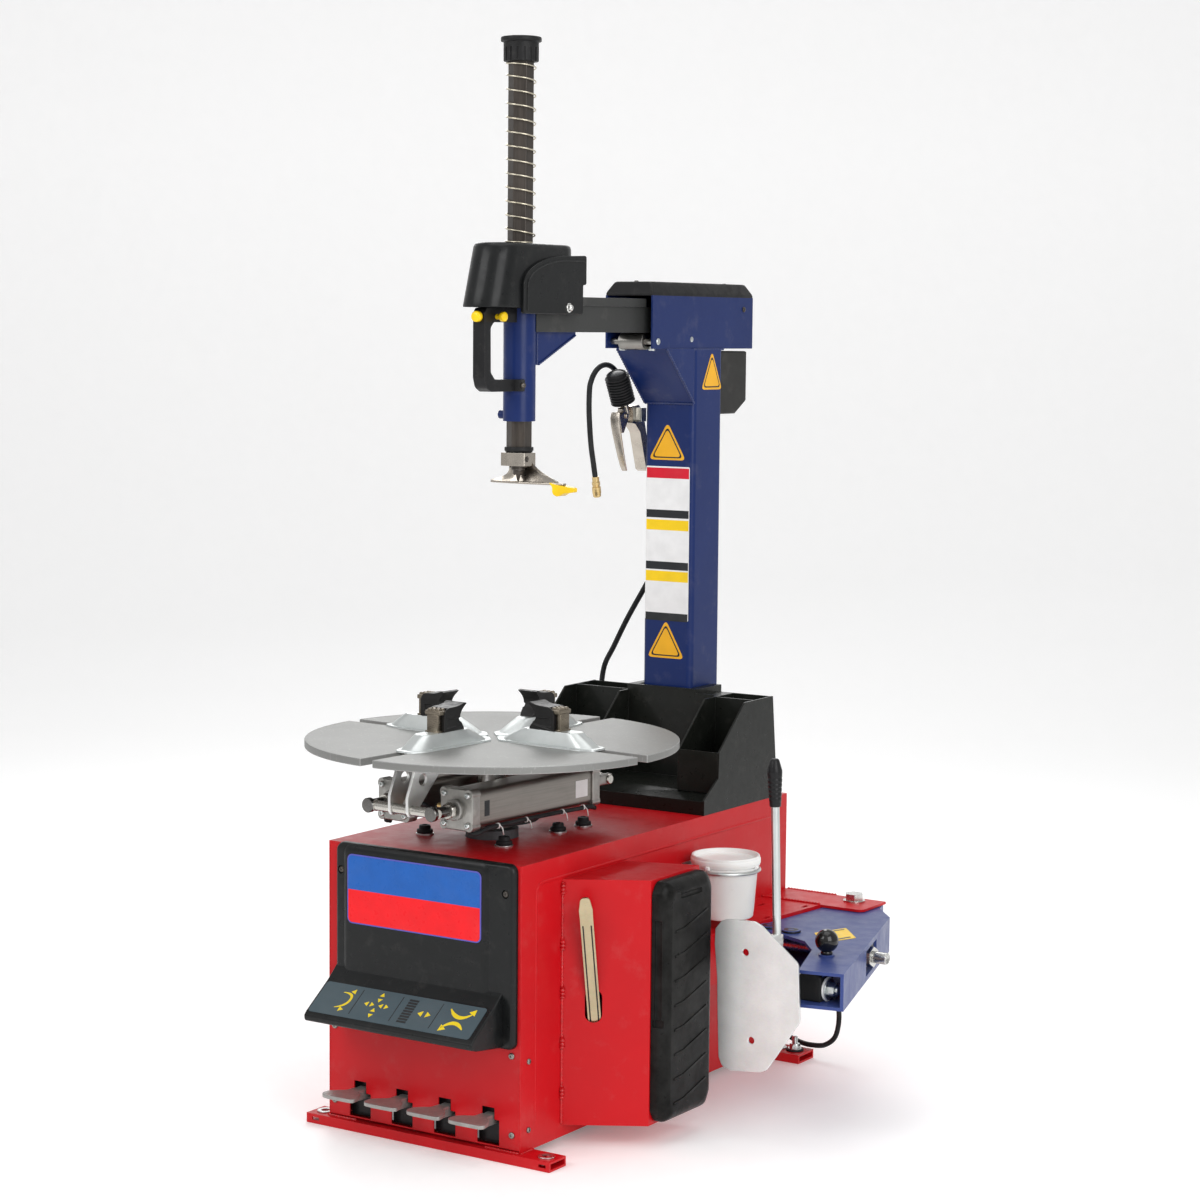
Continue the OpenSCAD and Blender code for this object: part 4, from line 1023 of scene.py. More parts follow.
# threaded levelling foot at the right rear
LEVEL_X, LEVEL_Y = 271, 681
thread = []
for k in range(14):
    thread += [(6.0, 24 + k * 1.7), (5.2, 24 + k * 1.7 + 0.85)]
piece("level_stud", lathe([(0, 21)] + thread + [(4.4, 48), (0, 48)], (LEVEL_X, LEVEL_Y, 0),
                          seg=24), "zinc_steel", "base")
piece("level_nut", hex_head((LEVEL_X, LEVEL_Y, 22), UP, 19, 9, 14), "zinc_steel", "base")
piece("level_pad", lathe([(0, 18), (17.4, 18), (18, 18.6), (17.6, 21), (15, 22), (0, 22)],
                         (LEVEL_X, LEVEL_Y, 0), seg=32), "cap_rubber", "base")

# ================================================================ drive
refine("gearbox", 2.0)
refine("motor", 1.2)
refine("drive_belt", 1.0)
refine("motor_pulley", 0.8)
refine("gearbox_pulley", 0.8)
refine("tilt_cylinder", 1.0)
refine("tilt_rod", 1.0)

# ================================================================ column
COLUMN_FRONT = ("column", (0, 607.5, 0), PLUS_X, UP)
HEAD_SIDE_X = 55
refine("column_tube", 1.0)
refine("head_box", 1.8, 3)
refine("valve_box", 4.0, 4)
refine("arm_rollers", 0.8, material="screw_steel")
# rows: width, depth, corner radius, z
HEAD_CAP = [(110, 388.5, 3, 1535.6), (110.4, 388.9, 3.4, 1539), (108.4, 386.4, 4, 1543),
            (92.5, 370, 6, 1558), (88, 366, 7, 1561.6), (82, 360, 7, 1563)]
cap = loft([ring(rounded_rect(width, depth, radius, 5, 0, 648.75), "z", z)
            for width, depth, radius, z in HEAD_CAP])
piece("head_cap_moulding", cap, "black_cap", "column", replaces="head_cap", smooth=40)
welds("head_weld", [
    ((-57, 606.5, 1322), (57, 606.5, 1322)), ((58.5, 607.5, 1323), (58.5, 502, 1431)),
    ((-58.5, 607.5, 1323), (-58.5, 502, 1431)), ((56, 606, 1431), (56, 722, 1431)),
    ((-56, 606, 1431), (-56, 722, 1431)), ((-46, 721, 1431), (46, 721, 1431))],
      2.2, "blue_weld", "column")
piece("head_side_screw", pan_head((HEAD_SIDE_X, 805, 1512), PLUS_X, 5.5, 3.0),
      "black_steel", "column")
for side in (1, -1):
    x, out = side * HEAD_SIDE_X, (side, 0, 0)
    piece(f"roller_axle_{side}", lathe([(0, 0), (6.5, 0), (6.5, 1.4), (5.6, 2.2), (0, 2.4)],
                                       (x, 474, 1446), out, 24), "zinc_steel", "column")
    piece(f"roller_axle_b{side}", lathe([(0, 0), (5.4, 0), (5.4, 1.4), (4.6, 2.0), (0, 2.2)],
                                        (x, 600, 1450.5), out, 24), "zinc_steel", "column")
    piece(f"stop_bolt_{side}", hex_head((side * 34, 486, 1436), DOWN, 13, 8), "zinc_steel",
          "column")
screws("valve_screw", [(-38, 830, 1400), (38, 830, 1400)], PLUS_Y, 4.5, 2.6, "zinc_steel",
       "column")
screws("cap_screw", [(0, 480, 1562.6), (0, 818, 1562.6)], UP, 4.5, 2.6, "black_steel",
       "column")


def blank_triangle(name, surface, width, height):
    """blank rounded triangle: amber field, dark rim, amber centre"""
    outline = round_corners([(-width / 2, 0), (width / 2, 0), (0, height)], 7)
    decal(name, outline, surface, "amber", 0.30)
    middle = height * 0.33
    for tag, scale, material, layer in (("_rim", 0.84, "label_dark", 1),
                                        ("_in", 0.74, "amber", 2)):
        decal(name + tag, [(x * scale, (y - middle) * scale + middle) for x, y in outline],
              surface, material, 0.12, 0.18 + 0.12 * layer)


blank_triangle("blank_front_hi", ("column", (-3, 607.5, 1208), PLUS_X, UP), 88, 76)
blank_triangle("blank_front_lo", ("column", (-2, 607.5, 806), PLUS_X, UP), 88, 78)
blank_triangle("blank_side", ("column", (58, 676, 1350), PLUS_Y, UP), 80, 78)
decal("label_field", rounded_rect(103, 312, 3, 4, -1, 1039), COLUMN_FRONT, "label_white",
      0.25)


def label_stripe(name, low, high, material):
    decal(name, [(-51, low), (49, low), (49, high), (-51, high)], COLUMN_FRONT, material,
          0.12, 0.25)


for i, (top, material) in enumerate(((1193, "label_red"), (1088, "amber_light"),
                                     (984, "amber_light"))):
    label_stripe(f"label_head_{i}", top - 22, top - 1, material)
    label_stripe(f"label_strip_{i}", top - 102, top - 86, "label_dark")

# ================================================================ inflator gun
GUN_X = -84
GRIP_Y, GRIP_Z = 563, 1296  # trigger pivot
# side view of the gun: y, z
GUN = [(556, 1312), (606, 1318), (624, 1300), (655, 1190), (648, 1180), (636, 1186),
       (612, 1262), (592, 1280), (560, 1284)]
gun = prism(round_corners(GUN, [6, 8, 12, 5, 5, 5, 10, 8, 6]), "x", GUN_X - 13, GUN_X + 13, 1)
gun = cut(gun, *[bar(22, 14, (GUN_X + x, GRIP_Y, GRIP_Z), PLUS_X, 40) for x in (-20.5, 6.6)])
piece("gun_body", gun, "nickel_cast", "column", 3.2, 4, 40, replaces="inflator", smooth=50)
piece("gun_neck", tube([(GUN_X, 580, 1298), (GUN_X, 572, 1315), (GUN_X, 566, 1328)], 8.5, 20),
      "nickel_cast", "column")
piece("gun_hook", join(block((-71.5, 596, 1284), (-57.8, 600, 1312), 1, 2),
                       block((-61, 596, 1284), (-57.8, 614, 1312), 1, 2),
                       block((-71.5, 596, 1284), (-58, 612, 1288), 1, 2)),
      "zinc_steel", "column")
# ribbed gauge boot, leaning forward
boot = [(0, -2), (14, -2), (17, 1)]
for i in range(10):
    z = 2 + i * 6.0
    boot += [(20.2, z), (24.6, z + 0.7), (25.0, z + 1.7), (24.6, z + 2.7), (20.2, z + 3.4),
             (19.8, z + 4.7)]
boot += [(20.5, 62.5), (20, 65.4), (17.6, 67), (15.8, 67), (15.4, 65), (0, 64.8)]
lean = math.radians(26)
gauge_axis = (0, -math.sin(lean), math.cos(lean))
piece("gauge_boot", lathe(boot, (GUN_X, 568, 1322), gauge_axis, 40), "cap_rubber", "column",
      smooth=50)
piece("gauge_glass", lathe([(0, 0), (15.2, 0), (14.8, 0.8), (9, 1.9), (0, 2.4)],
                           (GUN_X, 568 - 65 * math.sin(lean), 1322 + 65 * math.cos(lean)),
                           gauge_axis, 36), "label_dark", "column")
# curved finger lever tapering to its tip; rows: y, z, width, thickness
LEVER = [(540.5, 1303, 20, 5.0), (537.6, 1292, 22, 6.4), (539.6, 1278, 22, 6.6),
         (545.4, 1258, 20.5, 6.2), (553, 1236, 18.5, 5.8), (561, 1214, 16.5, 5.2),
         (569, 1195, 14.5, 4.6), (574.6, 1185, 12, 3.4)]
# side view of the cheeks it hangs from: y, z
CHEEK = round_corners([(563, 1305), (551, 1303), (538, 1294), (546, 1262), (554, 1262),
                       (571, 1290), (571, 1299)], [6, 5, 3, 2, 3, 5, 5], 4)
rings = []
for i, (y, z, width, thick) in enumerate(LEVER):
    y0, z0 = LEVER[max(0, i - 1)][:2]
    y1, z1 = LEVER[min(len(LEVER) - 1, i + 1)][:2]
    length = math.hypot(y1 - y0, z1 - z0)
    normal_y, normal_z = -(z1 - z0) / length, (y1 - y0) / length
    rings.append([(GUN_X + across, y + normal_y * depth, z + normal_z * depth)
                  for across, depth in rounded_rect(width, thick, thick * 0.46, 4)])
trigger = [loft(rings)]
for side in (-1, 1):
    low = GUN_X + (7 if side > 0 else -11)
    trigger.append(prism(CHEEK, "x", low, low + 4))
    trigger.append(lathe([(0, 0), (5.4, 0), (5.4, 2.4), (4.4, 3.2), (0, 3.4)],
                         (GUN_X + side * 10.8, GRIP_Y, GRIP_Z), (side, 0, 0), 24))
piece("trigger_lever", join(*trigger), "nickel_cast", "trigger", 0.7, 2, 40,
      replaces="inflator_trigger", smooth=50)
# hose: union, arch over the gauge, run down to the chuck
HOSE_X = -115
hose = [(HOSE_X + 16, 612, 1302), (HOSE_X + 6, 612, 1303), (HOSE_X + 1, 611.5, 1312),
        (HOSE_X, 610, 1330)]
hose += [(HOSE_X, 549 + 60 * math.cos(a), 1338 + 60 * math.sin(a))
         for a in [math.radians(d) for d in range(12, 180, 14)]]
hose += ring([(489, 1322), (490.5, 1290), (497, 1240), (507, 1200), (515, 1168)], "x", HOSE_X)
piece("hose_line", tube(spline(hose, 6), 5.5, 16), "hose_rubber", "column",
      replaces="air_hose", smooth=80)
CHUCK = [(0, -6), (7.2, -6), (7.2, 4), (8.4, 5), (8.4, 11), (7.4, 12), (7.4, 14), (9, 15),
         (9, 28), (8.2, 29.4), (8.2, 34), (6.2, 36), (4, 36.4), (3.6, 34), (0, 34)]
chuck_axis = Vector((0, 6, -36)).normalized()
piece("hose_chuck", lathe(CHUCK, (HOSE_X, 515.6, 1168), chuck_axis, 28), "brass", "column")
piece("hose_ferrule", lathe([(0, 0), (7.6, 0), (7.8, 1), (7.8, 13), (7.2, 14), (0, 14)],
                            (HOSE_X + 10, 612, 1302), PLUS_X, 28), "nickel_cast", "column")

# ================================================================ sliding arm, post carrier
POST_Y = 80  # the tool post stands at x = 0
POST = (0, POST_Y, 0)
refine("arm_tube", 2.6, 3)
refine("guide_tube", 1.4, 3)
piece("stop_screw", join(pan_head((-43, POST_Y, 1310), MINUS_X, 5.2, 3.4),
                         bar(4, 4, (-40, POST_Y, 1310), PLUS_X, 20)), "black_steel", "arm")
welds("gusset_weld", [
    ((21, 112, 1403), (21, 234, 1457)), ((-21, 112, 1403), (-21, 234, 1457)),
    ((20.5, 107, 1404), (20.5, 107, 1460)), ((-20.5, 107, 1404), (-20.5, 107, 1460))],
      1.9, "blue_weld", "arm")
HOUSING_LOW, HOUSING_HEIGHT, HOUSING_BACK = 1507, 117, 168


def stadium(front, back, radius, z, steps=18):
    """ring of two half circles, centred at y front and y back"""
    turns = [math.pi * i / steps for i in range(steps + 1)]
    outline = [(radius * math.cos(a), back + radius * math.sin(a), z) for a in turns]
    return outline + [(-radius * math.cos(a), front - radius * math.sin(a), z)
                      for a in turns]


def lerp(start, end, t):
    return start + (end - start) * t


rings = []
# rows: part of the height, inset of the edge
for t, inset in ((0, 0.8), (0.02, 0), (0.25, 0), (0.5, 0), (0.75, 0), (0.93, 0),
                 (0.975, 1.6), (1.0, 5.0)):
    rings.append(stadium(lerp(-21, 12, t) + inset * 0.2, HOUSING_BACK - inset * 0.2,
                         lerp(46, 45, t) - inset, HOUSING_LOW + HOUSING_HEIGHT * t))
inner = loft([stadium(-21, HOUSING_BACK, 42.5, 1490),
              stadium(-21, HOUSING_BACK, 42.5, HOUSING_LOW),
              stadium(11, HOUSING_BACK, 41.0, 1619)])
shell = cut(loft(rings), inner, bar(26.2, 30, (0, POST_Y, 1605)),
            block((-41, 100, 1492), (41, 235, 1531), 0))
piece("housing_shell", shell, "black_abs", "arm", replaces="post_housing", smooth=42)


def plate_arc(radius_y, radius_z, z):
    angles = [math.radians(a) for a in range(180, 89, -6)]
    return [(166 + radius_y * math.cos(a), z + radius_z * math.sin(a)) for a in angles]


side_plate = [(19, 1496), (19, 1547)] + plate_arc(147, 57, 1547)
side_plate += [(225, 1606), (225, 1551), (214, 1551), (214, 1496)]
side_plate = round_corners(side_plate, [5] + [0] * (len(side_plate) - 5) + [6, 6, 4, 5], 4)
rim = [(30, 1502), (30, 1546)] + plate_arc(136, 49, 1546) + [(216, 1595)]
RIVET = [(0, 0), (9, 0), (9, 1.4), (8.2, 2.2), (6.5, 2.6), (6.2, 5.2), (4.6, 7.4),
         (2.2, 8.6), (0, 8.9)]
for side, tag, low in ((1, "r", 44), (-1, "l", -52)):
    out = (side, 0, 0)
    piece(f"side_plate_{tag}", prism(side_plate, "x", low, low + 8), "black_abs", "arm",
          1.8, 3, 30)
    piece(f"plate_rim_{side}", tube(ring(rim, "x", side * 52.1), 1.5, 8), "black_abs", "arm")
    piece(f"plate_rivet_{side}", lathe(RIVET, (side * 52 - side * 0.4, 166, 1508), out, 32),
          "bright_steel", "arm")
    piece(f"housing_screw_{side}", pan_head((side * 44.6, 60, 1530), out, 4.2, 2.2),
          "black_steel", "arm")
# handle: soft D grip with a strap round the guide; rows: y, z
GRIP = [(-49, 1380), (-43, 1362), (-28, 1354), (56, 1354), (56, 1376), (-16, 1376),
        (-29, 1389), (-30, 1470), (-20, 1480), (56, 1480), (56, 1506), (-42, 1506),
        (-49, 1496)]
grip = prism(round_corners(GRIP, [12, 14, 12, 0, 0, 9, 9, 9, 9, 0, 0, 7, 7], 6),
             "x", -13, 13, 1)
grip = cut(grip, bar(30.1, 180, (0, POST_Y, 1345), UP, 64),
           bar(5.4, 50, (-25, -11, 1490), PLUS_X, 28))
piece("handle_grip", grip, "black_nylon", "arm", 4.6, 4, 42, replaces="handle", smooth=55)


def front_arc(radius, degrees, z):
    """point round the post, 0 degrees at the front"""
    angle = math.radians(degrees)
    return (radius * math.sin(angle), POST_Y - radius * math.cos(angle), z)


STRAP = ((30.1, 1354), (35.5, 1354), (35.5, 1376), (30.1, 1376))
strap = loft([[front_arc(radius, a, z) for radius, z in STRAP] for a in range(-52, 53, 4)])
piece("handle_strap", strap, "black_nylon", "arm", 1.6, 3, 40)
for side in (1, -1):
    angle = math.radians(side * 46)
    piece(f"strap_screw_{side}", pan_head(front_arc(35.2, side * 46, 1365),
                                          (math.sin(angle), -math.cos(angle), 0), 5.4, 3.4),
          "black_steel", "arm")
# locking button pair with domed ends, and a knob on the front of the grip
BUTTON = [(0, 0), (8.4, 0), (9, 0.8), (9, 7.0), (8.4, 8.6), (6.6, 9.6), (4, 10), (0, 10.1)]
THUMB = [(0, -3), (6, -3), (6, 1), (9.2, 1.4), (10, 2.4), (10, 9.4), (9.2, 11.2), (7, 12.4),
         (0, 12.8)]
buttons = [bar(5, 62, (-31, -11, 1490), PLUS_X, 24)]
for side in (1, -1):
    buttons.append(lathe(BUTTON, (side * 22.9, -11, 1490), (side, 0, 0), 32))
piece("thumb_knob", lathe(THUMB, (0, -49, 1490), MINUS_Y, 36), "yellow_plastic", "arm",
      smooth=45)
piece("button_pair", join(*buttons), "yellow_plastic", "button", replaces="lock_button",
      smooth=45)

# ================================================================ tool post
refine("hex_shaft", 0.9, 3, smooth=20)
SHAFT_CAP = [(0, 1988), (24.5, 1988), (24.5, 1954.4), (31.2, 1954.4), (32.3, 1955.6),
             (32.5, 1989), (36.6, 1990.2), (37.4, 1991.2), (37.5, 1996.6), (36.6, 1998.4),
             (35.0, 1999), (31, 1999), (30, 1997.6), (0, 1997.2)]
notches = [moved(block((30.0, -2.4, 1950), (36, 2.4, 1980), 1.0, 2),
                 Matrix.Translation(metres(POST))
                 @ Matrix.Rotation(math.radians(k * 22.5), 4, "Z")) for k in range(16)]
piece("shaft_cap_moulding", cut(lathe(SHAFT_CAP, POST, seg=96), *notches), "black_cap",
      "post", replaces="shaft_cap", smooth=40)
# return spring with closed ends
SPRING_TURNS, SPRING_RADIUS, SPRING_LOW, SPRING_LENGTH = 13.6, 27.05, 1626.0, 326.0
path = []
steps = int(SPRING_TURNS * 26)
for i in range(steps + 1):
    t = i / steps
    angle = -2 * math.pi * SPRING_TURNS * t
    if t < 0.05:
        rise = t * t / 0.1
    elif t > 0.95:
        rise = 1 - (1 - t) ** 2 / 0.1
    else:
        rise = 0.025 + (t - 0.05) * (0.95 / 0.9)
    path.append((SPRING_RADIUS * math.cos(angle), POST_Y + SPRING_RADIUS * math.sin(angle),
                 SPRING_LOW + SPRING_LENGTH * rise))
spring = piece("return_spring", tube(path, 1.45, 10), "spring_steel", "arm",
               replaces="post_spring", smooth=80)
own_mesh(spring)

# mount head: collar, socket block, flared skirt, sole, screw and insert
COLLAR = [(0, 1240), (22, 1240), (24.6, 1241.4), (27, 1244.6), (27, 1249.6), (26.2, 1250.8),
          (25.4, 1251), (0, 1251)]
SET_SCREW_AXIS = (0.9, -0.43, 0)
piece("head_collar", lathe(COLLAR, POST), "black_cap", "post", smooth=35)
socket = prism(round_corners([(-26, 57), (-8, 54), (26, 60), (27, 96), (12, 104),
                              (-22, 104), (-27, 96)], 4, 4), "z", 1216, 1240.4)
socket = cut(socket, bar(5.6, 12, (22, 70, 1229), SET_SCREW_AXIS, 24))
piece("head_block", socket, "nickel_cast", "post", 1.8, 3, 30, replaces="mount_head")
piece("head_block_screw",
      lathe([(0, 0), (5.2, 0), (5.2, 2.2), (3, 2.2), (2.6, 0.8), (0, 0.8)],
            (21.4, 70.3, 1229), SET_SCREW_AXIS, 24), "black_steel", "post")


def skirt_ring(drop):
    """section of the skirt at a part of its drop: an arch that opens to a wide shoe"""
    z = 1222 - 38.6 * drop
    left = -26 - 40 * drop ** 4.2
    right = 27 + 79 * drop ** 1.7
    flatten = drop ** 0.8
    back, front = [], []
    for i in range(31):
        u = -1 + 2 * i / 30
        x = (left + right) / 2 + u * (right - left) / 2
        arch = 80 + 25 * math.sqrt(max(0, 1 - u * u * 0.94))
        shoe = 92 - 0.0019 * (x - 10) ** 2
        y = arch * (1 - flatten) + shoe * flatten
        thick = 5.2 if abs(u) < 0.9 else 5.2 - 2.6 * (abs(u) - 0.9) / 0.1
        lift = 4.6 * max(0, -u - 0.6) / 0.4 * drop
        back.append((x, y + thick / 2, z + lift))
        front.append((x, y - thick / 2 - 3.0 * drop * (1 - abs(u)), z + lift))
    return back + front[::-1]


SKIRT_DROPS = [0, 0.08, 0.18, 0.28, 0.38, 0.48, 0.58, 0.68, 0.77, 0.85, 0.91, 0.96, 1.0]
piece("head_skirt", loft([skirt_ring(drop) for drop in SKIRT_DROPS]), "nickel_cast", "post",
      smooth=60)
# plan views: x, y
SOLE = [(-64, 78), (-30, 68), (10, 64), (60, 66), (104, 70), (106, 84), (60, 90), (0, 94),
        (-40, 91), (-65, 84)]
SOLE_HOLE = [(-34, 76), (-10, 72), (26, 72), (44, 78), (30, 86), (-24, 86)]
sole = cut(prism(round_corners(SOLE, 6, 4), "z", 1183, 1187),
           prism(round_corners(SOLE_HOLE, 5, 4), "z", 1180, 1190))
piece("head_sole", sole, "nickel_cast", "post", 1.4, 3, 30)
HEAD_SCREW = [(0, 1216), (13, 1216), (13, 1209), (9.5, 1208), (9.5, 1200.6), (8.4, 1199),
              (4.4, 1199), (2.6, 1190), (0.6, 1186), (0, 1185.6)]
piece("head_screw", lathe(HEAD_SCREW, (0, 78, 0), seg=28), "black_steel", "post")
# front view of the insert: x, z; it narrows toward +x
INSERT = [(76, 1188), (92, 1184.4), (108, 1181.8), (126, 1179.4), (127.4, 1177.6),
          (127.4, 1172.2), (125, 1171), (119, 1170.4), (108, 1168.4), (99, 1163.6),
          (93, 1163), (86.5, 1166), (84, 1171), (84, 1179), (81, 1183.4)]
insert = prism(round_corners(INSERT, [1, 0, 3, 1.5, 1, 1.5, 1, 3, 6, 5, 5, 6, 4, 3, 2], 4),
               "y", 66, 90, 2)
for v in insert.verts:
    x, y, z = v.co / MM_TO_M
    taper = 1 - 0.45 * max(0, min(1, (x - 96) / 31))
    v.co.y = (78 + (y - 78) * taper) * MM_TO_M
piece("yellow_insert", insert, "yellow_plastic", "post", 2.0, 3, 40,
      replaces="head_insert", smooth=50)

# ================================================================ turntable
SPINDLE = 28  # radius
refine("turntable_plate", 1.6, 3, smooth=30)
spindle = lathe([(0, 442), (26, 442), (28, 444), (SPINDLE, 550.6), (SPINDLE, 697),
                 (39.4, 697.2), (40, 697.8), (40, 702.6), (0, 703)], seg=56)
worm = lathe([(SPINDLE, 462)]
             + [(60.0 if k % 2 else 57.6, 462.8 + k * 1.8) for k in range(20)]
             + [(SPINDLE, 498), (SPINDLE, 462)], seg=72)
piece("spindle_shaft", join(spindle, worm), "bright_steel", "turntable",
      replaces="turntable_spindle", smooth=35)
COVER = [(SPINDLE, 560), (48.6, 560), (50, 561.4), (50, 565), (86, 565), (87, 566),
         (87, 570), (85.6, 571), (82, 571), (81, 570), (60, 570), (58, 571.4), (50, 572.4),
         (49, 575.4), (48, 576), (SPINDLE, 576), (SPINDLE, 560)]
piece("spindle_cover", lathe(COVER, seg=80), "black_nylon", "turntable")
piece("spindle_disc", lathe([(SPINDLE, 551), (37.4, 551), (38, 551.8), (38, 559.2),
                             (37.2, 560), (SPINDLE, 560), (SPINDLE, 551)], seg=64),
      "flange_alloy", "turntable")
screws("flange_bolt", [(71 * math.cos(a), 71 * math.sin(a), 569.8)
                       for a in [math.radians(i * 60 + 14) for i in range(6)]],
       UP, 4.6, 3.0, "black_steel", "turntable")

# ================================================================ jaws
# each jaw is drawn reaching outward along +x and then turned to its place
JAWS = {"front": -90, "right": 0, "rear": 90, "left": 180}
COVER_CENTER, COVER_POINTS = (142, 0), 120
# plan views, x and y: flange, foot of the raised body, and its top
FLANGE = round_corners([(9, 0), (40, 31), (222, 31), (250, 18), (250, -18), (222, -31),
                        (40, -31)], [5, 9, 8, 7, 7, 8, 9])
BODY = round_corners([(27, 0), (46, 23.5), (222, 24), (240, 13), (240, -13), (222, -24),
                      (46, -23.5)], [8, 14, 14, 9, 9, 14, 14], 6)
TOP = round_corners([(84, 11), (97, 17.5), (195, 17.5), (205, 10), (205, -10),
                     (195, -17.5), (97, -17.5), (84, -11)], [4, 8, 8, 5, 5, 8, 8, 4])


def jaw_piece(name, bm, material, jaw, **finish):
    turn = Matrix.Rotation(TURN + math.radians(JAWS[jaw]), 4, "Z")
    piece(name, moved(bm, turn), material, "jaw_" + jaw, **finish)


def ray_ring(polygon):
    """points where even rays from COVER_CENTER leave a convex polygon"""
    points = []
    center_x, center_y = COVER_CENTER
    for k in range(COVER_POINTS):
        angle = 2 * math.pi * (k + 0.5) / COVER_POINTS
        ray_x, ray_y = math.cos(angle), math.sin(angle)
        best = None
        for i in range(len(polygon)):
            start, end = polygon[i], polygon[(i + 1) % len(polygon)]
            edge_x, edge_y = end[0] - start[0], end[1] - start[1]
            from_x, from_y = start[0] - center_x, start[1] - center_y
            cross = ray_x * edge_y - ray_y * edge_x
            if abs(cross) < 1e-9:
                continue
            reach = (from_x * edge_y - from_y * edge_x) / cross
            part = (from_x * ray_y - from_y * ray_x) / cross
            if reach > 0 and -1e-6 <= part <= 1 + 1e-6 and (best is None or reach < best):
                best = reach
        points.append((center_x + ray_x * best, center_y + ray_y * best))
    return points


flange, body, top = ray_ring(FLANGE), ray_ring(BODY), ray_ring(TOP)
# rows: part of the way from the first outline to the second, z
COVER_FLANGE = [(0, 717.1), (0.03, 717.6), (0.04, 719.6), (0.10, 720.1), (0.86, 720.1)]
COVER_BODY = [(0.0, 720.7), (0.05, 722.4), (0.20, 726.4), (0.40, 731.4), (0.60, 736.0),
              (0.76, 739.6), (0.87, 742.2), (0.94, 743.8), (0.985, 744.6)]


def jaw_cover():
    rings = []
    for first, second, rows in ((flange, body, COVER_FLANGE), (body, top, COVER_BODY)):
        for t, z in rows:
            rings.append([(p[0] * (1 - t) + q[0] * t, p[1] * (1 - t) + q[1] * t, z)
                          for p, q in zip(first, second)])
    center_x = COVER_CENTER[0]
    rings.append([(center_x + (p[0] - center_x) * 0.93, p[1] * 0.9, 745.0) for p in top])
    return loft(rings)


def jaw_claw():
    """hooked grip toward the middle, sloping foot, back with a socket for the T head"""
    # side view: x, z
    outline = spline([(97, 745), (102, 750.5), (109.4, 757), (114, 763.6), (115.6, 769.4),
                      (114.4, 776), (109.4, 784), (100.6, 793.4)], 3)
    outline += [(106, 795), (116, 791.4), (126, 789.4), (146, 788.4), (152, 786.6),
                (157, 782), (159, 776), (159, 745)]
    claw = prism(outline, "y", -20, 20, 3)
    for v in claw.verts:
        x, y, z = v.co / MM_TO_M
        flare = max(0, (z - 770) / 25) * max(0, (118 - x) / 18)
        v.co.y = y * (1 + 0.14 * flare) * MM_TO_M
        narrow = max(0, (766 - z) / 21) * max(0, (118 - x) / 21)
        v.co.y *= 1 - 0.34 * narrow
    return cut(claw, block((147.9, -18.4, 775.9), (172, 18.4, 805), 0.0),
               block((112, -24, 752), (152, -16.4, 768), 2.0),
               block((112, 16.4, 752), (152, 24, 768), 2.0))


def jaw_post():
    """T-headed post with knuckles on the head"""
    parts = [block((159.1, -13, 744.6), (170, 13, 777), 1.4),
             block((148.2, -18, 776), (170, 18, 784), 1.4)]
    for y in (-10, 0, 10):
        parts.append(bar(2.2, 18.4, (150, y, 784.4), PLUS_X, 16))
        for x in (150.4, 161):
            parts.append(lathe([(0, 0), (3.4, 0), (3.9, 0.6), (3.9, 6.6), (3.4, 7.2),
                                (0, 7.2)], (x, y, 784.2), PLUS_X, 20))
    parts.append(block((158.4, -16, 744.4), (171.4, 16, 748.2), 1.2, 2))
    return join(*parts)


# the clamp rods and cylinders lie under the jaws along the front-rear line
ROD_OFFSET = 74.5
ROD_Z = 616
CROSS_X = 250  # cross rods, out from the middle


def jaw_legs():
    """pair of hangers that carry a cross rod"""
    outline = round_corners([(176, 696), (238, 696), (262, 640), (262, 612), (256, 604),
                             (244, 604), (238, 612), (176, 676)],
                            [3, 5, 12, 8, 5, 5, 8, 6], 4)
    legs = []
    for side in (-1, 1):
        y = side * 21
        legs.append(cut(prism(outline, "y", y - 3, y + 3),
                        bar(9.3, 20, (CROSS_X, y - 10, ROD_Z), PLUS_Y, 32),
                        bar(11, 20, (222, y - 10, 668), PLUS_Y, 32)))
    return join(*legs)


for jaw in JAWS:
    jaw_piece(f"jaw_cover_{jaw}", jaw_cover(), "jaw_zinc", jaw,
              replaces=f"jaw_slider_{jaw}", slot="zinc_steel", smooth=34)
    tongue = [block((72, -12.7, 702), (238, 12.7, 717.2), 0.8, 2),
              block((72, -26, 693), (238, 26, 702.6), 1.2, 2)]
    tongue += [hex_head((x, 0, 693), DOWN, 17, 8, 10) for x in (86, 155, 224)]
    jaw_piece(f"jaw_tongue_{jaw}", join(*tongue), "bright_steel", jaw)
    clips = [block((x - 5, side * 27.3 - 2.8, 719.4), (x + 5, side * 27.3 + 2.8, 720.9),
                   0.5, 2) for x in (62, 200) for side in (1, -1)]
    jaw_piece(f"jaw_clips_{jaw}", join(*clips), "zinc_steel", jaw)
    jaw_piece(f"jaw_post_{jaw}", jaw_post(), "post_steel", jaw, slot="polished_steel")
    jaw_piece(f"jaw_claw_{jaw}_cast", jaw_claw(), "claw_steel", jaw, bevel=0.9, seg=3,
              angle=34, replaces=f"jaw_claw_{jaw}", smooth=50)
    if jaw in ("front", "rear"):
        jaw_piece(f"jaw_legs_{jaw}", jaw_legs(), "zinc_plate", jaw, bevel=0.9, angle=34)

# half of a cross rod with its grooves, from one end to the middle
HALF_ROD = [(0, -85.5), (7.8, -85.5), (9.05, -84.2), (9.05, -81.5), (8.1, -81.4),
            (8.1, -80.2), (9.05, -80.1), (9.05, -64.4), (10.2, -64.2), (10.2, -60.2),
            (9.05, -60.0)]


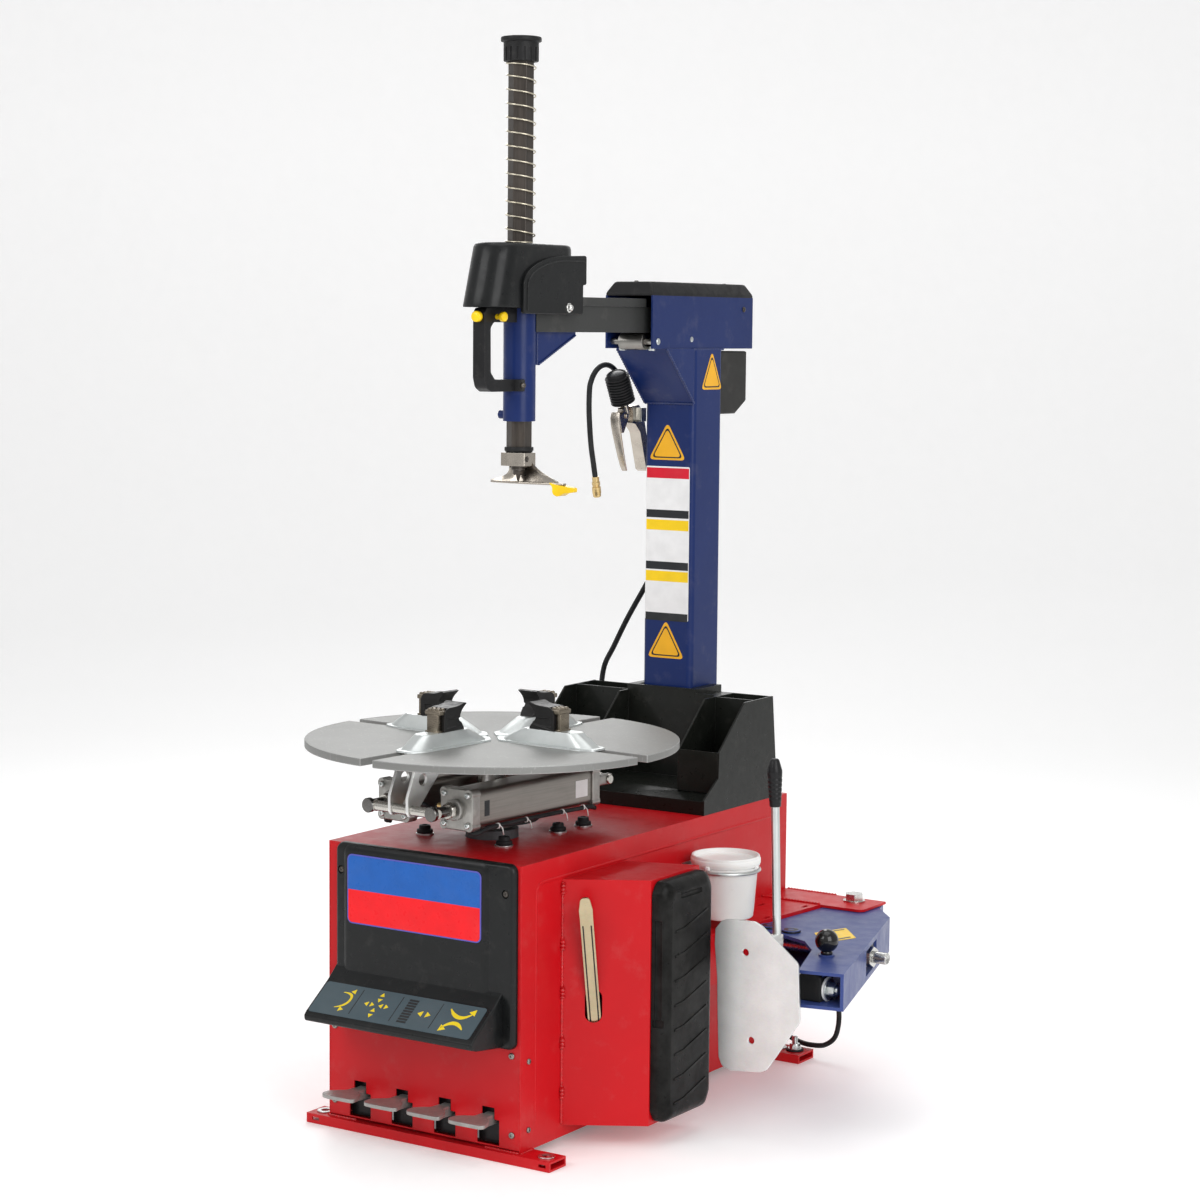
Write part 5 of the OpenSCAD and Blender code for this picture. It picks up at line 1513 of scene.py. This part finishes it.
def cross_rod():
    return lathe(HALF_ROD + [(radius, -height) for radius, height in HALF_ROD[::-1]],
                 (CROSS_X, 0, ROD_Z), PLUS_Y, 32)


jaw_piece("cross_rod_rear", cross_rod(), "polished_steel", "rear", smooth=30)
ROD = [(0, -142), (10, -142), (10, 246), (9.2, 247), (9.2, 251), (12.6, 251.4),
       (13.4, 252.4), (13.4, 260), (12.4, 261.4), (0, 262)]
PISTON = [(0, -152), (28.6, -152), (29.6, -151), (29.6, -146.4), (27.6, -146),
          (27.6, -142), (29.6, -141.6), (29.6, -137), (28.6, -136), (0, -136)]
rods = []
fittings = [cross_rod()]
for side in (-1, 1):
    y = side * ROD_OFFSET
    rods.append(lathe(ROD, (0, y, ROD_Z), PLUS_X, 36))
    fittings.append(lathe(PISTON, (0, y, ROD_Z), PLUS_X, 48))
    fittings.append(hex_head((206, y, ROD_Z), PLUS_X, 27, 10))
jaw_piece("piston_rods", join(*rods), "rod_dark", "front", smooth=32)
jaw_piece("clamp_rod_set", join(*fittings), "polished_steel", "front",
          replaces="clamp_rods", smooth=32)

# air cylinders: drawn barrel, cast ends with bolts, gland, ear, ports and hoses
END_LENGTH = 22
# rows: depth into the end, size, corner radius
END_ROWS = [(0, 71, 9), (1.6, 75, 10), (20.8, 75, 10), (22, 73, 9)]
GLAND = [(10.5, -200), (17, -200), (19.5, -198), (19.5, -190), (10.5, -190), (10.5, -200)]
# rows: x, distance from the cylinder axis toward the middle, z
INNER_HOSES = {
    "cyl_hose": [(-176, 52, 616), (-172, 60, 612), (-140, 64, 596), (-70, 60, 588),
                 (-20, 50, 586), (0, 42, 582)],
    "cyl_hose2": [(172, 52, 616), (166, 60, 610), (130, 62, 596), (70, 58, 588),
                  (24, 48, 586), (4, 42, 582)]}
square = round_corners([(-34, -34), (34, -34), (34, 34), (-34, 34)], 13, 9)


def cylinder_end(name, x, axis_y, sign):
    rings = []
    for depth, size, radius in END_ROWS:
        level = x + (depth if sign < 0 else END_LENGTH - depth)
        rings.append(ring([(y + axis_y, z + ROD_Z)
                           for y, z in rounded_rect(size, size, radius, 5)], "x", level))
    end = loft(rings)
    if sign < 0:
        end = cut(end, bar(10.4, 40, (-195, axis_y, ROD_Z), PLUS_X, 32))
    jaw_piece(f"cyl_end_{name}", end, "flange_alloy", "rear", smooth=34)
    face = x if sign < 0 else x + END_LENGTH
    bolts = [pan_head((face, axis_y + y, ROD_Z + z), (sign, 0, 0), 5.6, 5.0)
             for y in (-27, 27) for z in (-27, 27)]
    jaw_piece(f"cyl_bolts_{name}", join(*bolts), "zinc_steel", "rear")


for side in (-1, 1):
    axis_y = side * ROD_OFFSET
    inward = (0, -side, 0)
    barrel = cut(prism([(y + axis_y, z + ROD_Z) for y, z in square], "x", -168.2, 160.2),
                 bar(30.2, 340, (-172, axis_y, ROD_Z), PLUS_X, 56))
    jaw_piece(f"cyl_barrel_{side}", barrel, "cylinder_alloy", "rear",
              replaces="clamp_cylinders" if side < 0 else None, smooth=34)
    cylinder_end(f"{side}_0", -190, axis_y, -1)
    cylinder_end(f"{side}_1", 160, axis_y, 1)
    jaw_piece(f"cyl_gland_{side}", lathe(GLAND, (0, axis_y, ROD_Z), PLUS_X, 40),
              "flange_alloy", "rear", smooth=34)
    ear = cut(block((181, axis_y - 7, 606), (262, axis_y + 7, 626), 3),
              bar(9.3, 40, (CROSS_X, axis_y - 20, ROD_Z), PLUS_Y, 32))
    jaw_piece(f"cyl_ear_{side}", ear, "flange_alloy", "rear")
    for k, x in enumerate((-176, 172)):
        port = join(hex_head((x, axis_y - side * 37.5, ROD_Z), inward, 14, 7),
                    bar(4.6, 9, (x, axis_y - side * 44.5, ROD_Z), inward, 20))
        jaw_piece(f"cyl_port_{side}_{k}", port, "brass", "rear")
    for name, rows in INNER_HOSES.items():
        path = spline([(x, axis_y - side * away, z) for x, away, z in rows], 8)
        jaw_piece(f"{name}_{side}", tube(path, 3.6, 12), "hose_rubber", "rear")
# blank plates on one barrel
jaw_piece("cyl_blank_label", block((112, -108.9, 600), (148, -108.3, 632), 0.2, 1),
          "label_white", "rear")
jaw_piece("cyl_blank_strip", block((-152, -108.9, 602), (-138, -108.3, 630), 0.2, 1),
          "label_dark", "rear")
# hoses along the outer sides with ties, and round lugs at the corners of the ends
TIE_BAND = [(4.3, -1.8), (5.2, -1.8), (5.2, 1.8), (4.3, 1.8), (4.3, -1.8)]
LUG = [(0, -11.6), (8.6, -11.6), (9.2, -11), (9.2, 11), (8.6, 11.6), (0, 11.6)]
for side in (-1, 1):
    axis_y = side * ROD_OFFSET
    y = axis_y + side * 38.5
    run = spline([(-176, axis_y + side * 20, 574), (-172, y - side * 4, 574),
                  (-150, y, 580), (-96, y, 582), (38, y, 582), (140, y, 580),
                  (172, y - side * 6, 574), (178, axis_y + side * 18, 574)], 6)
    jaw_piece(f"cyl_side_hose_{side}", tube(run, 4.2, 14), "hose_rubber", "rear", smooth=80)
    for k, x in enumerate((-120, -40, 66, 128)):
        tail = spline([(x, y + side * 4.6, 583), (x + 2, y + side * 9, 578),
                       (x + 4, y + side * 9.5, 570), (x + 9, y + side * 6, 565)], 5)
        jaw_piece(f"cyl_side_tie_{side}_{k}",
                  join(lathe(TIE_BAND, (x, y, 581.6), PLUS_X, 24), tube(tail, 1.0, 8)),
                  "white_tie", "rear")
    for k, x in enumerate((-179, 171)):
        lugs = [lathe(LUG, (x, axis_y + up_y * 29, ROD_Z + up_z * 29), PLUS_X, 24)
                for up_y in (-1, 1) for up_z in (-1, 1)]
        jaw_piece(f"cyl_lugs_{side}_{k}", join(*lugs), "flange_alloy", "rear", smooth=34)

# ================================================================ bead breaker
KNOB = (561, 270, 0)
PIVOT_Y, PIVOT_Z = 192, 290  # the blade's pivot bolt lies along x
refine("breaker_arm", 2.2, 3)
PLUG = [(0, 329.4), (17.6, 329.6), (18.6, 330.6), (18.6, 332.6), (17.2, 334.4), (13, 335.2),
        (6.8, 335.4), (6.2, 334.2), (0, 334.2)]
for i, (x, y) in enumerate(((410, 407), (357, 417))):
    piece(f"arm_plug_{i}", lathe(PLUG, (x, y, 0), seg=36), "black_nylon", "breaker_arm")
piece("arm_blank_label",
      prism(round_corners([(451, 424), (480, 497), (536, 432), (504, 357)], 3, 3),
            "z", 330.0, 330.5), "amber_light", "breaker_arm")
piece("arm_blank_label_in",
      join(prism([(458, 426), (462, 421), (485, 481), (482, 486)], "z", 330.4, 330.75),
           prism([(499, 368), (504, 363), (527, 429), (522, 434)], "z", 330.4, 330.75)),
      "label_dark", "breaker_arm")
piece("knob_seat", lathe([(7.6, 329.6), (14.4, 329.6), (15, 330.2), (15, 332.4),
                          (13.6, 333), (7.6, 333), (7.6, 329.6)], KNOB, seg=32),
      "arm_blue_paint", "breaker_arm")
knob = [(0, 300), (6.2, 300), (7, 301), (7, 332.9), (10.6, 333.1), (11, 333.6), (11, 337),
        (9.4, 340), (8.6, 341)]
for k in range(1, 25):
    angle = math.radians(-60 + 150 * k / 24)
    knob.append((21.6 * math.cos(angle), 358 + 21.6 * math.sin(angle)))
knob.append((0, 379.6))
piece("ball_knob", lathe(knob, KNOB), "knob_bakelite", "knob", replaces="lock_knob",
      smooth=40)
pivot = prism(round_corners([(559.2, 268.4), (605, 268.4), (605, 316), (592, 321),
                             (572, 321), (559.2, 316)], [4, 4, 14, 16, 16, 14], 6),
              "y", 168, 216)
pivot = cut(pivot, bar(8.3, 80, (545, PIVOT_Y, PIVOT_Z), PLUS_X, 32))
piece("pivot_block", pivot, "black_cap", "breaker_arm", 4.2, 4, 34)
piece("pivot_washer", lathe([(8.3, 0), (22, 0), (22.4, 0.5), (22.4, 2.6), (22, 3),
                             (8.3, 3), (8.3, 0)], (605.2, PIVOT_Y, PIVOT_Z), PLUS_X, 40),
      "white_tie", "breaker_arm")
refine("breaker_cylinder", 1.4)
refine("breaker_rod", 0.8)
thread = [(0, 0)]
for k in range(12):
    thread += [(11.3, k * 2.4 + 0.3), (10.3, k * 2.4 + 1.5)]
piece("rod_thread", lathe(thread + [(9, 30), (0, 30)], (570, 438, 297), PLUS_X, 28),
      "gearbox_iron", "breaker_rod", smooth=20)
# blade, front view: x, z
BLADE = [(422, 403), (436, 409), (492, 411), (508, 404), (583, 345), (588, 240), (522, 143),
         (508, 136), (446, 130), (427, 136), (420, 152), (417, 230), (415, 300), (409, 360),
         (410, 388)]
BLADE_RADII = [10, 14, 14, 12, 16, 16, 14, 14, 12, 12, 12, 0, 0, 0, 10]
blade = cut(prism(round_corners(BLADE, BLADE_RADII), "y", 123, 128),
            *[bar(6.5, 20, (x, 115, z), PLUS_Y, 28) for x, z in ((474, 352), (488, 192))])
piece("blade_plate", blade, "zinc_plate", "blade", 1.2, 3, 30, replaces="blade")
holder = [
    prism(round_corners([(128, 250), (128, 330), (178, 314), (214, 300), (214, 272),
                         (178, 262)], [0, 3, 12, 12, 12, 12], 4), "x", 532, 546),
    block((505, 127.6, 300), (532, 160, 372), 3),
    lathe([(0, 0), (12.4, 0), (13, 0.8), (13, 32), (0, 32)], (518, 128, 372), PLUS_Y, 32),
    lathe([(0, 0), (19.2, 0), (20, 0.9), (20, 27.2), (19.2, 28), (0, 28)],
          (530, PIVOT_Y, PIVOT_Z), PLUS_X, 40)]
piece("blade_holder", join(*holder), "zinc_plate", "blade")
bolt = [bar(8, 68, (546, PIVOT_Y, PIVOT_Z), PLUS_X, 28),
        hex_head((609, PIVOT_Y, PIVOT_Z), PLUS_X, 24, 13, 19.5, 2.2),
        lathe([(0, 0), (7.9, 0), (7.9, 6.5), (7, 7.6), (0, 7.6)],
              (622.5, PIVOT_Y, PIVOT_Z), PLUS_X, 24)]
piece("blade_bolt", join(*bolt), "zinc_steel", "blade")
# handle: bright rod with a tapered ribbed grip
rod_low, rod_high = Vector((517, 166, 300)), Vector((507, 166, 622))
rod_run = rod_high - rod_low
piece("handle_rod", tube([rod_low + rod_run * i / 12 for i in range(13)], 7.6, 28),
      "zinc_steel", "blade", replaces="blade_handle", slot="zinc_plate", smooth=60)
grip = [(0, -6), (9.4, -6), (10.4, -5), (10.6, 0)]
for k in range(5):
    z = 4 + k * 8.4
    grip += [(10.7 + 0.42 * k, z), (11.3 + 0.42 * k, z + 1.0), (11.5 + 0.42 * k, z + 6.6),
             (10.9 + 0.42 * k, z + 7.6)]
grip += [(13.2, 48), (13.6, 56), (13.5, 60), (8.6, 77.5), (7.6, 79.6), (5.6, 81), (0, 81)]
grip_axis = (Vector((504.4, 166, 702)) - rod_high).normalized()
piece("handle_grip_long", lathe(grip, rod_high, grip_axis, 36), "black_nylon", "blade",
      smooth=50)
piece("rod_eye", lathe([(7.7, 0), (11, 0), (11.6, 0.6), (11.6, 17.4), (11, 18), (7.7, 18),
                        (7.7, 0)], rod_low + rod_run * 0.20, rod_run.normalized(), 32),
      "zinc_plate", "blade")
# breaker hose: out of the back of the cabinet, one loop over the rear foot
path = spline([(204, 740, 212), (236, 744, 214), (290, 716, 200), (330, 706, 168),
               (356, 706, 112), (352, 706, 58), (328, 706, 33), (296, 706, 27.5),
               (262, 716, 27), (214, 742, 30), (180, 744, 40)], 8)
piece("breaker_hose", tube(path, 5.2, 16), "hose_rubber", "base", smooth=80)
piece("breaker_hose_clips", join(block((196, 732.6, 204), (212, 748, 220), 2, 2),
                                 block((176, 732.6, 32), (192, 750, 48), 2, 2)),
      "black_nylon", "base")

# ================================================================ paste tub and lever
TUB_X, TUB_Y = 290, 362
TUB = [(0, 354), (50, 354), (52, 354.6), (53.4, 356), (54, 358), (55.5, 372), (61.4, 448),
       (61.8, 449), (63.6, 449.4), (63.8, 450.2), (63.8, 452.4), (62.6, 453), (62.2, 456),
       (62.4, 457), (0, 457)]
LID = [(0, 455), (64.6, 455), (65.6, 456), (65.8, 458.6), (66.8, 459.2), (67, 460.2),
       (67, 467.4), (66.4, 468.4), (65.6, 468.8), (65.4, 472.2), (64.6, 473.8), (63, 474),
       (61.4, 473.8), (60.8, 472.6), (60, 466.6), (58, 465.2), (52, 464.8), (50.6, 465.6),
       (48.8, 465.8), (47.4, 464.8), (0, 464.4)]
piece("tub_bucket", lathe(TUB, (TUB_X, TUB_Y, 0), seg=80), "white_plastic", "tub",
      replaces="paste_tub", smooth=34)
piece("tub_lid", lathe(LID, (TUB_X, TUB_Y, 0), seg=80), "white_plastic", "tub", smooth=34)
for i in range(0, 20, 5):
    angle = 2 * math.pi * i / 20
    x, y = TUB_X + 66.4 * math.cos(angle), TUB_Y + 66.4 * math.sin(angle)
    piece(f"tub_tab_{i}", block((x - 4, y - 4, 452.4), (x + 4, y + 4, 459.6), 1.4, 2),
          "white_plastic", "tub")
# tyre lever: forged bar with two grooves on each face, leaning beside the cabinet
LEVER_PLACE = (Matrix.Translation(metres((215, -85, 0)))
               @ Matrix.Rotation(math.atan2(83, 135), 4, "Z")
               @ Matrix.Translation(metres((57.5, 1.5, 259.5)))
               @ Matrix.Rotation(math.radians(-4.4), 4, "Y")
               @ Matrix.Rotation(math.radians(11.5), 4, "X"))
GROOVES_X = (-7.4, 7.4)
outline = round_corners([(-10.5, -185), (10.5, -185), (12, -170), (12, 175), (12.5, 187),
                         (8, 211), (-8, 211), (-12.5, 187), (-12, 175), (-12, -170)],
                        [6, 6, 4, 3, 5, 7, 7, 5, 3, 4], 4)
grooves = [prism(round_corners([(x - 1.1, -172), (x + 1.1, -172), (x + 1.1, 158),
                                (x - 1.1, 158)], 0.9, 3), "y", *span)
           for x in GROOVES_X for span in ((1.2, 6), (-6, -1.2))]
lever = cut(prism(outline, "y", -3, 3), *grooves)
# dark strips on the groove floors: painted shade in the grooves
lines = [block((x - 1.0, y, -171), (x + 1.0, y + 0.5, 157), 0.0)
         for x in GROOVES_X for y in (1.0, -1.5)]
piece("lever_lines", moved(join(*lines), LEVER_PLACE), "label_dark", "lever")
piece("lever_bar", moved(lever, LEVER_PLACE), "lever_steel", "lever", 0.8, 2, 34,
      replaces="tyre_lever")

# ================================================================ pedals
PEDALS_X = [-143 + 96 * i for i in range(4)]
PEDAL_RIGHT = 38
# side view of the pedal arm: y, z
PEDAL_ARM = round_corners([(-238, 61), (-238, 73.5), (-206, 79.6), (-150, 79.6),
                           (-124, 107), (-112, 107), (-106, 95), (-112, 83), (-150, 60)],
                          [2, 2, 0, 6, 7, 7, 6, 6, 5], 4)


def pedal(number, x):
    """foot plate with a narrow neck, and its arm"""
    left = x - (42 if number == 4 else 38)
    right = x + PEDAL_RIGHT
    outline = [(left + 6, -283), (left + 24, -285), (right - 6, -284), (right, -278),
               (right - 3, -262), (right - 14, -243), (x + 13, -236), (x + 12, -214),
               (x - 12, -214), (x - 13, -236), (left + 14, -243), (left, -256),
               (left - 2, -272)]
    outline = round_corners(outline, [12, 6, 12, 12, 10, 12, 10, 2, 2, 10, 12, 12, 12])
    arm = cut(prism(PEDAL_ARM, "x", x - 11, x + 11),
              bar(8.2, 40, (x - 20, -120, 95), PLUS_X, 32))
    piece(f"pedal_plate_{number}", prism(outline, "z", 73, 80), "cast_steel",
          f"pedal_{number}", 3.0, 4, 34, replaces=f"pedal_{number}", smooth=50)
    piece(f"pedal_arm_{number}", arm, "cast_steel", f"pedal_{number}", 1.4, 2, 34)


for i, x in enumerate(PEDALS_X):
    pedal(i + 1, x)
# dark sheet behind the pedal slots: painted shade inside the cabinet
piece("slot_lining", join(*[block((x - 30, -198, 24), (x + 30, -196, 98), 0.4, 1)
                            for x in PEDALS_X]), "black_nylon", "base")

# ================================================================ left and rear faces
REAR_Y = 732.5
# rows: x, width, height, corner radius
SERVICE_COVER = [(-215.0, 520, 300, 10), (-216.6, 520, 300, 10), (-217.4, 517, 297, 9)]
cover = loft([ring(rounded_rect(width, height, radius, 5, 300, 270), "x", x)
              for x, width, height, radius in SERVICE_COVER])
piece("service_cover", cover, "red_paint", "base", smooth=34)
screws("service_screw", [(-217.2, y, z) for y in (54, 546, 300) for z in (406, 134)],
       MINUS_X, 5.0, 3.2, "black_steel", "base")
louvres = []
for i in range(6):
    z = 380 - i * 16
    louvre = [(732.6, z), (736.6, z - 6.4), (732.6, z - 8)]
    louvres.append(loft([ring(louvre, "x", x) for x in (-66, -60, 60, 66)]))
piece("rear_louvres", join(*louvres), "red_paint", "base", 0.5)
INLET = [(0, 0), (7.5, 0), (7.5, 9), (6.2, 10), (6.2, 12), (7.4, 13), (7.4, 18), (6, 20),
         (0, 20)]
piece("air_inlet", join(hex_head((-150, REAR_Y, 120), PLUS_Y, 24, 8),
                        lathe(INLET, (-150, 740, 120), PLUS_Y, 28)), "brass", "base")
piece("cable_gland", join(hex_head((-90, REAR_Y, 120), PLUS_Y, 24, 7),
                          lathe([(0, 0), (10, 0), (9, 12), (5, 14), (0, 14)],
                                (-90, 739, 120), PLUS_Y, 28)), "black_nylon", "base")
# supply hose from the back of the cabinet up to the column
path = spline([(-206, 700, 540), (-216, 706, 620), (-222, 706, 690), (-214, 704, 760),
               (-186, 700, 810), (-150, 694, 870), (-112, 688, 926), (-82, 682, 968),
               (-60, 676, 990)])
supply = piece("supply_hose", tube(path, 5.6, 16), "hose_rubber", None, smooth=80)
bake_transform(supply)
piece("supply_grommet", lathe([(0, -2), (9.5, -2), (10.5, -1), (10.5, 3), (9, 6), (6.5, 8),
                               (0, 8)], (-58.6, 675, 991.5), (-0.95, 0.14, -0.5), 28),
      "cap_rubber", "column")
piece("supply_gland", join(lathe([(0, 533), (13, 533), (13.6, 534), (13.6, 540),
                                  (12.6, 541), (0, 541)], (-206, 700, 0), seg=32),
                           hex_head((-206, 700, 540), UP, 17, 8)), "black_nylon", "base")


# ================================================================ floor, light, camera
def studio_floor():
    """floor swept up into a back wall, in m"""
    data = bpy.data.meshes.new("floor")
    bm = bmesh.new()
    angles = [math.radians(a) for a in range(10, 91, 10)]
    profile = [(-7.0, 0.0), (4.2, 0.0)]
    profile += [(4.2 + 2.2 * math.sin(a), 2.2 * (1 - math.cos(a))) for a in angles]
    profile += [(6.4, 6.0)]
    left, right = [[bm.verts.new((x, y, z - 0.0006)) for y, z in profile]
                   for x in (-8.0, 8.0)]
    for i in range(len(profile) - 1):
        bm.faces.new((left[i], right[i], right[i + 1], left[i + 1]))
    moved(face_out(bm), Matrix.Rotation(math.radians(33.0), 4, "Z"))
    bm.to_mesh(data)
    bm.free()
    for face in data.polygons:
        face.use_smooth = True
    floor = bpy.data.objects.new("floor", data)
    bpy.context.scene.collection.objects.link(floor)
    g = Graph("studio_floor")
    g.color = g.mix(g.spots(scale=30, detail=4), (0.90, 0.90, 0.90), (0.93, 0.93, 0.93))
    g.surface(rough=g.spots(scale=40, detail=4, to=(0.55, 0.7)))
    g.put(g.bsdf.inputs["Emission Color"], (1, 1, 1, 1))
    g.put(g.bsdf.inputs["Emission Strength"], 0.16)
    g.bump(g.noise(scale=300, detail=2), strength=0.02, depth=0.0005)
    data.materials.append(MATERIALS["studio_floor"])
    floor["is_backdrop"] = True


def area_light(name, place, target, size, power):
    light = bpy.data.lights.new(name, "AREA")
    light.shape = "RECTANGLE"
    light.size, light.size_y = size
    light.energy = power
    lamp = bpy.data.objects.new(name, light)
    lamp.location = place
    aim = Vector(target) - Vector(place)
    lamp.rotation_euler = aim.to_track_quat("-Z", "Y").to_euler()
    bpy.context.scene.collection.objects.link(lamp)
    lamp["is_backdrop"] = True


studio_floor()
area_light("key", place=(-1.4, -3.6, 3.4), target=(0.1, 0.2, 0.9), size=(2.6, 2.2), power=66)
area_light("fill", place=(3.6, -1.6, 2.4), target=(0.2, 0.3, 0.8), size=(2.4, 3.0), power=84)
area_light("rim", place=(-2.2, 3.0, 3.2), target=(0, 0.3, 1.0), size=(2.0, 2.0), power=44)
area_light("top", place=(0.4, 0.2, 4.2), target=(0.1, 0.2, 0.6), size=(3.0, 3.0), power=40)
world = bpy.data.worlds.new("studio")
world.use_nodes = True
background = world.node_tree.nodes["Background"]
background.inputs["Color"].default_value = (1, 1, 1, 1)
background.inputs["Strength"].default_value = 0.55
bpy.context.scene.world = world

# camera from its heading, downward pitch and roll
heading, pitch, roll = [math.radians(a) for a in (33.14, 5.647, -0.5005)]
forward = Vector((-math.sin(heading) * math.cos(pitch), math.cos(heading) * math.cos(pitch),
                  -math.sin(pitch)))
level = Vector((math.cos(heading), math.sin(heading), 0))
upright = level.cross(forward)
camera_x = level * math.cos(roll) - upright * math.sin(roll)
camera_y = level * math.sin(roll) + upright * math.cos(roll)
lens = bpy.data.cameras.new("cam")
lens.sensor_width = 36
lens.lens = 81.77
lens.clip_end = 60
lens.clip_start = 0.05
camera = bpy.data.objects.new("cam", lens)
camera.matrix_world = (Matrix.Translation((2.8913, -4.0693, 1.4667))
                       @ Matrix((camera_x, camera_y, -forward)).transposed().to_4x4())
bpy.context.scene.collection.objects.link(camera)
bpy.context.scene.camera = camera
bpy.context.scene.view_settings.view_transform = "Standard"

low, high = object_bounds()
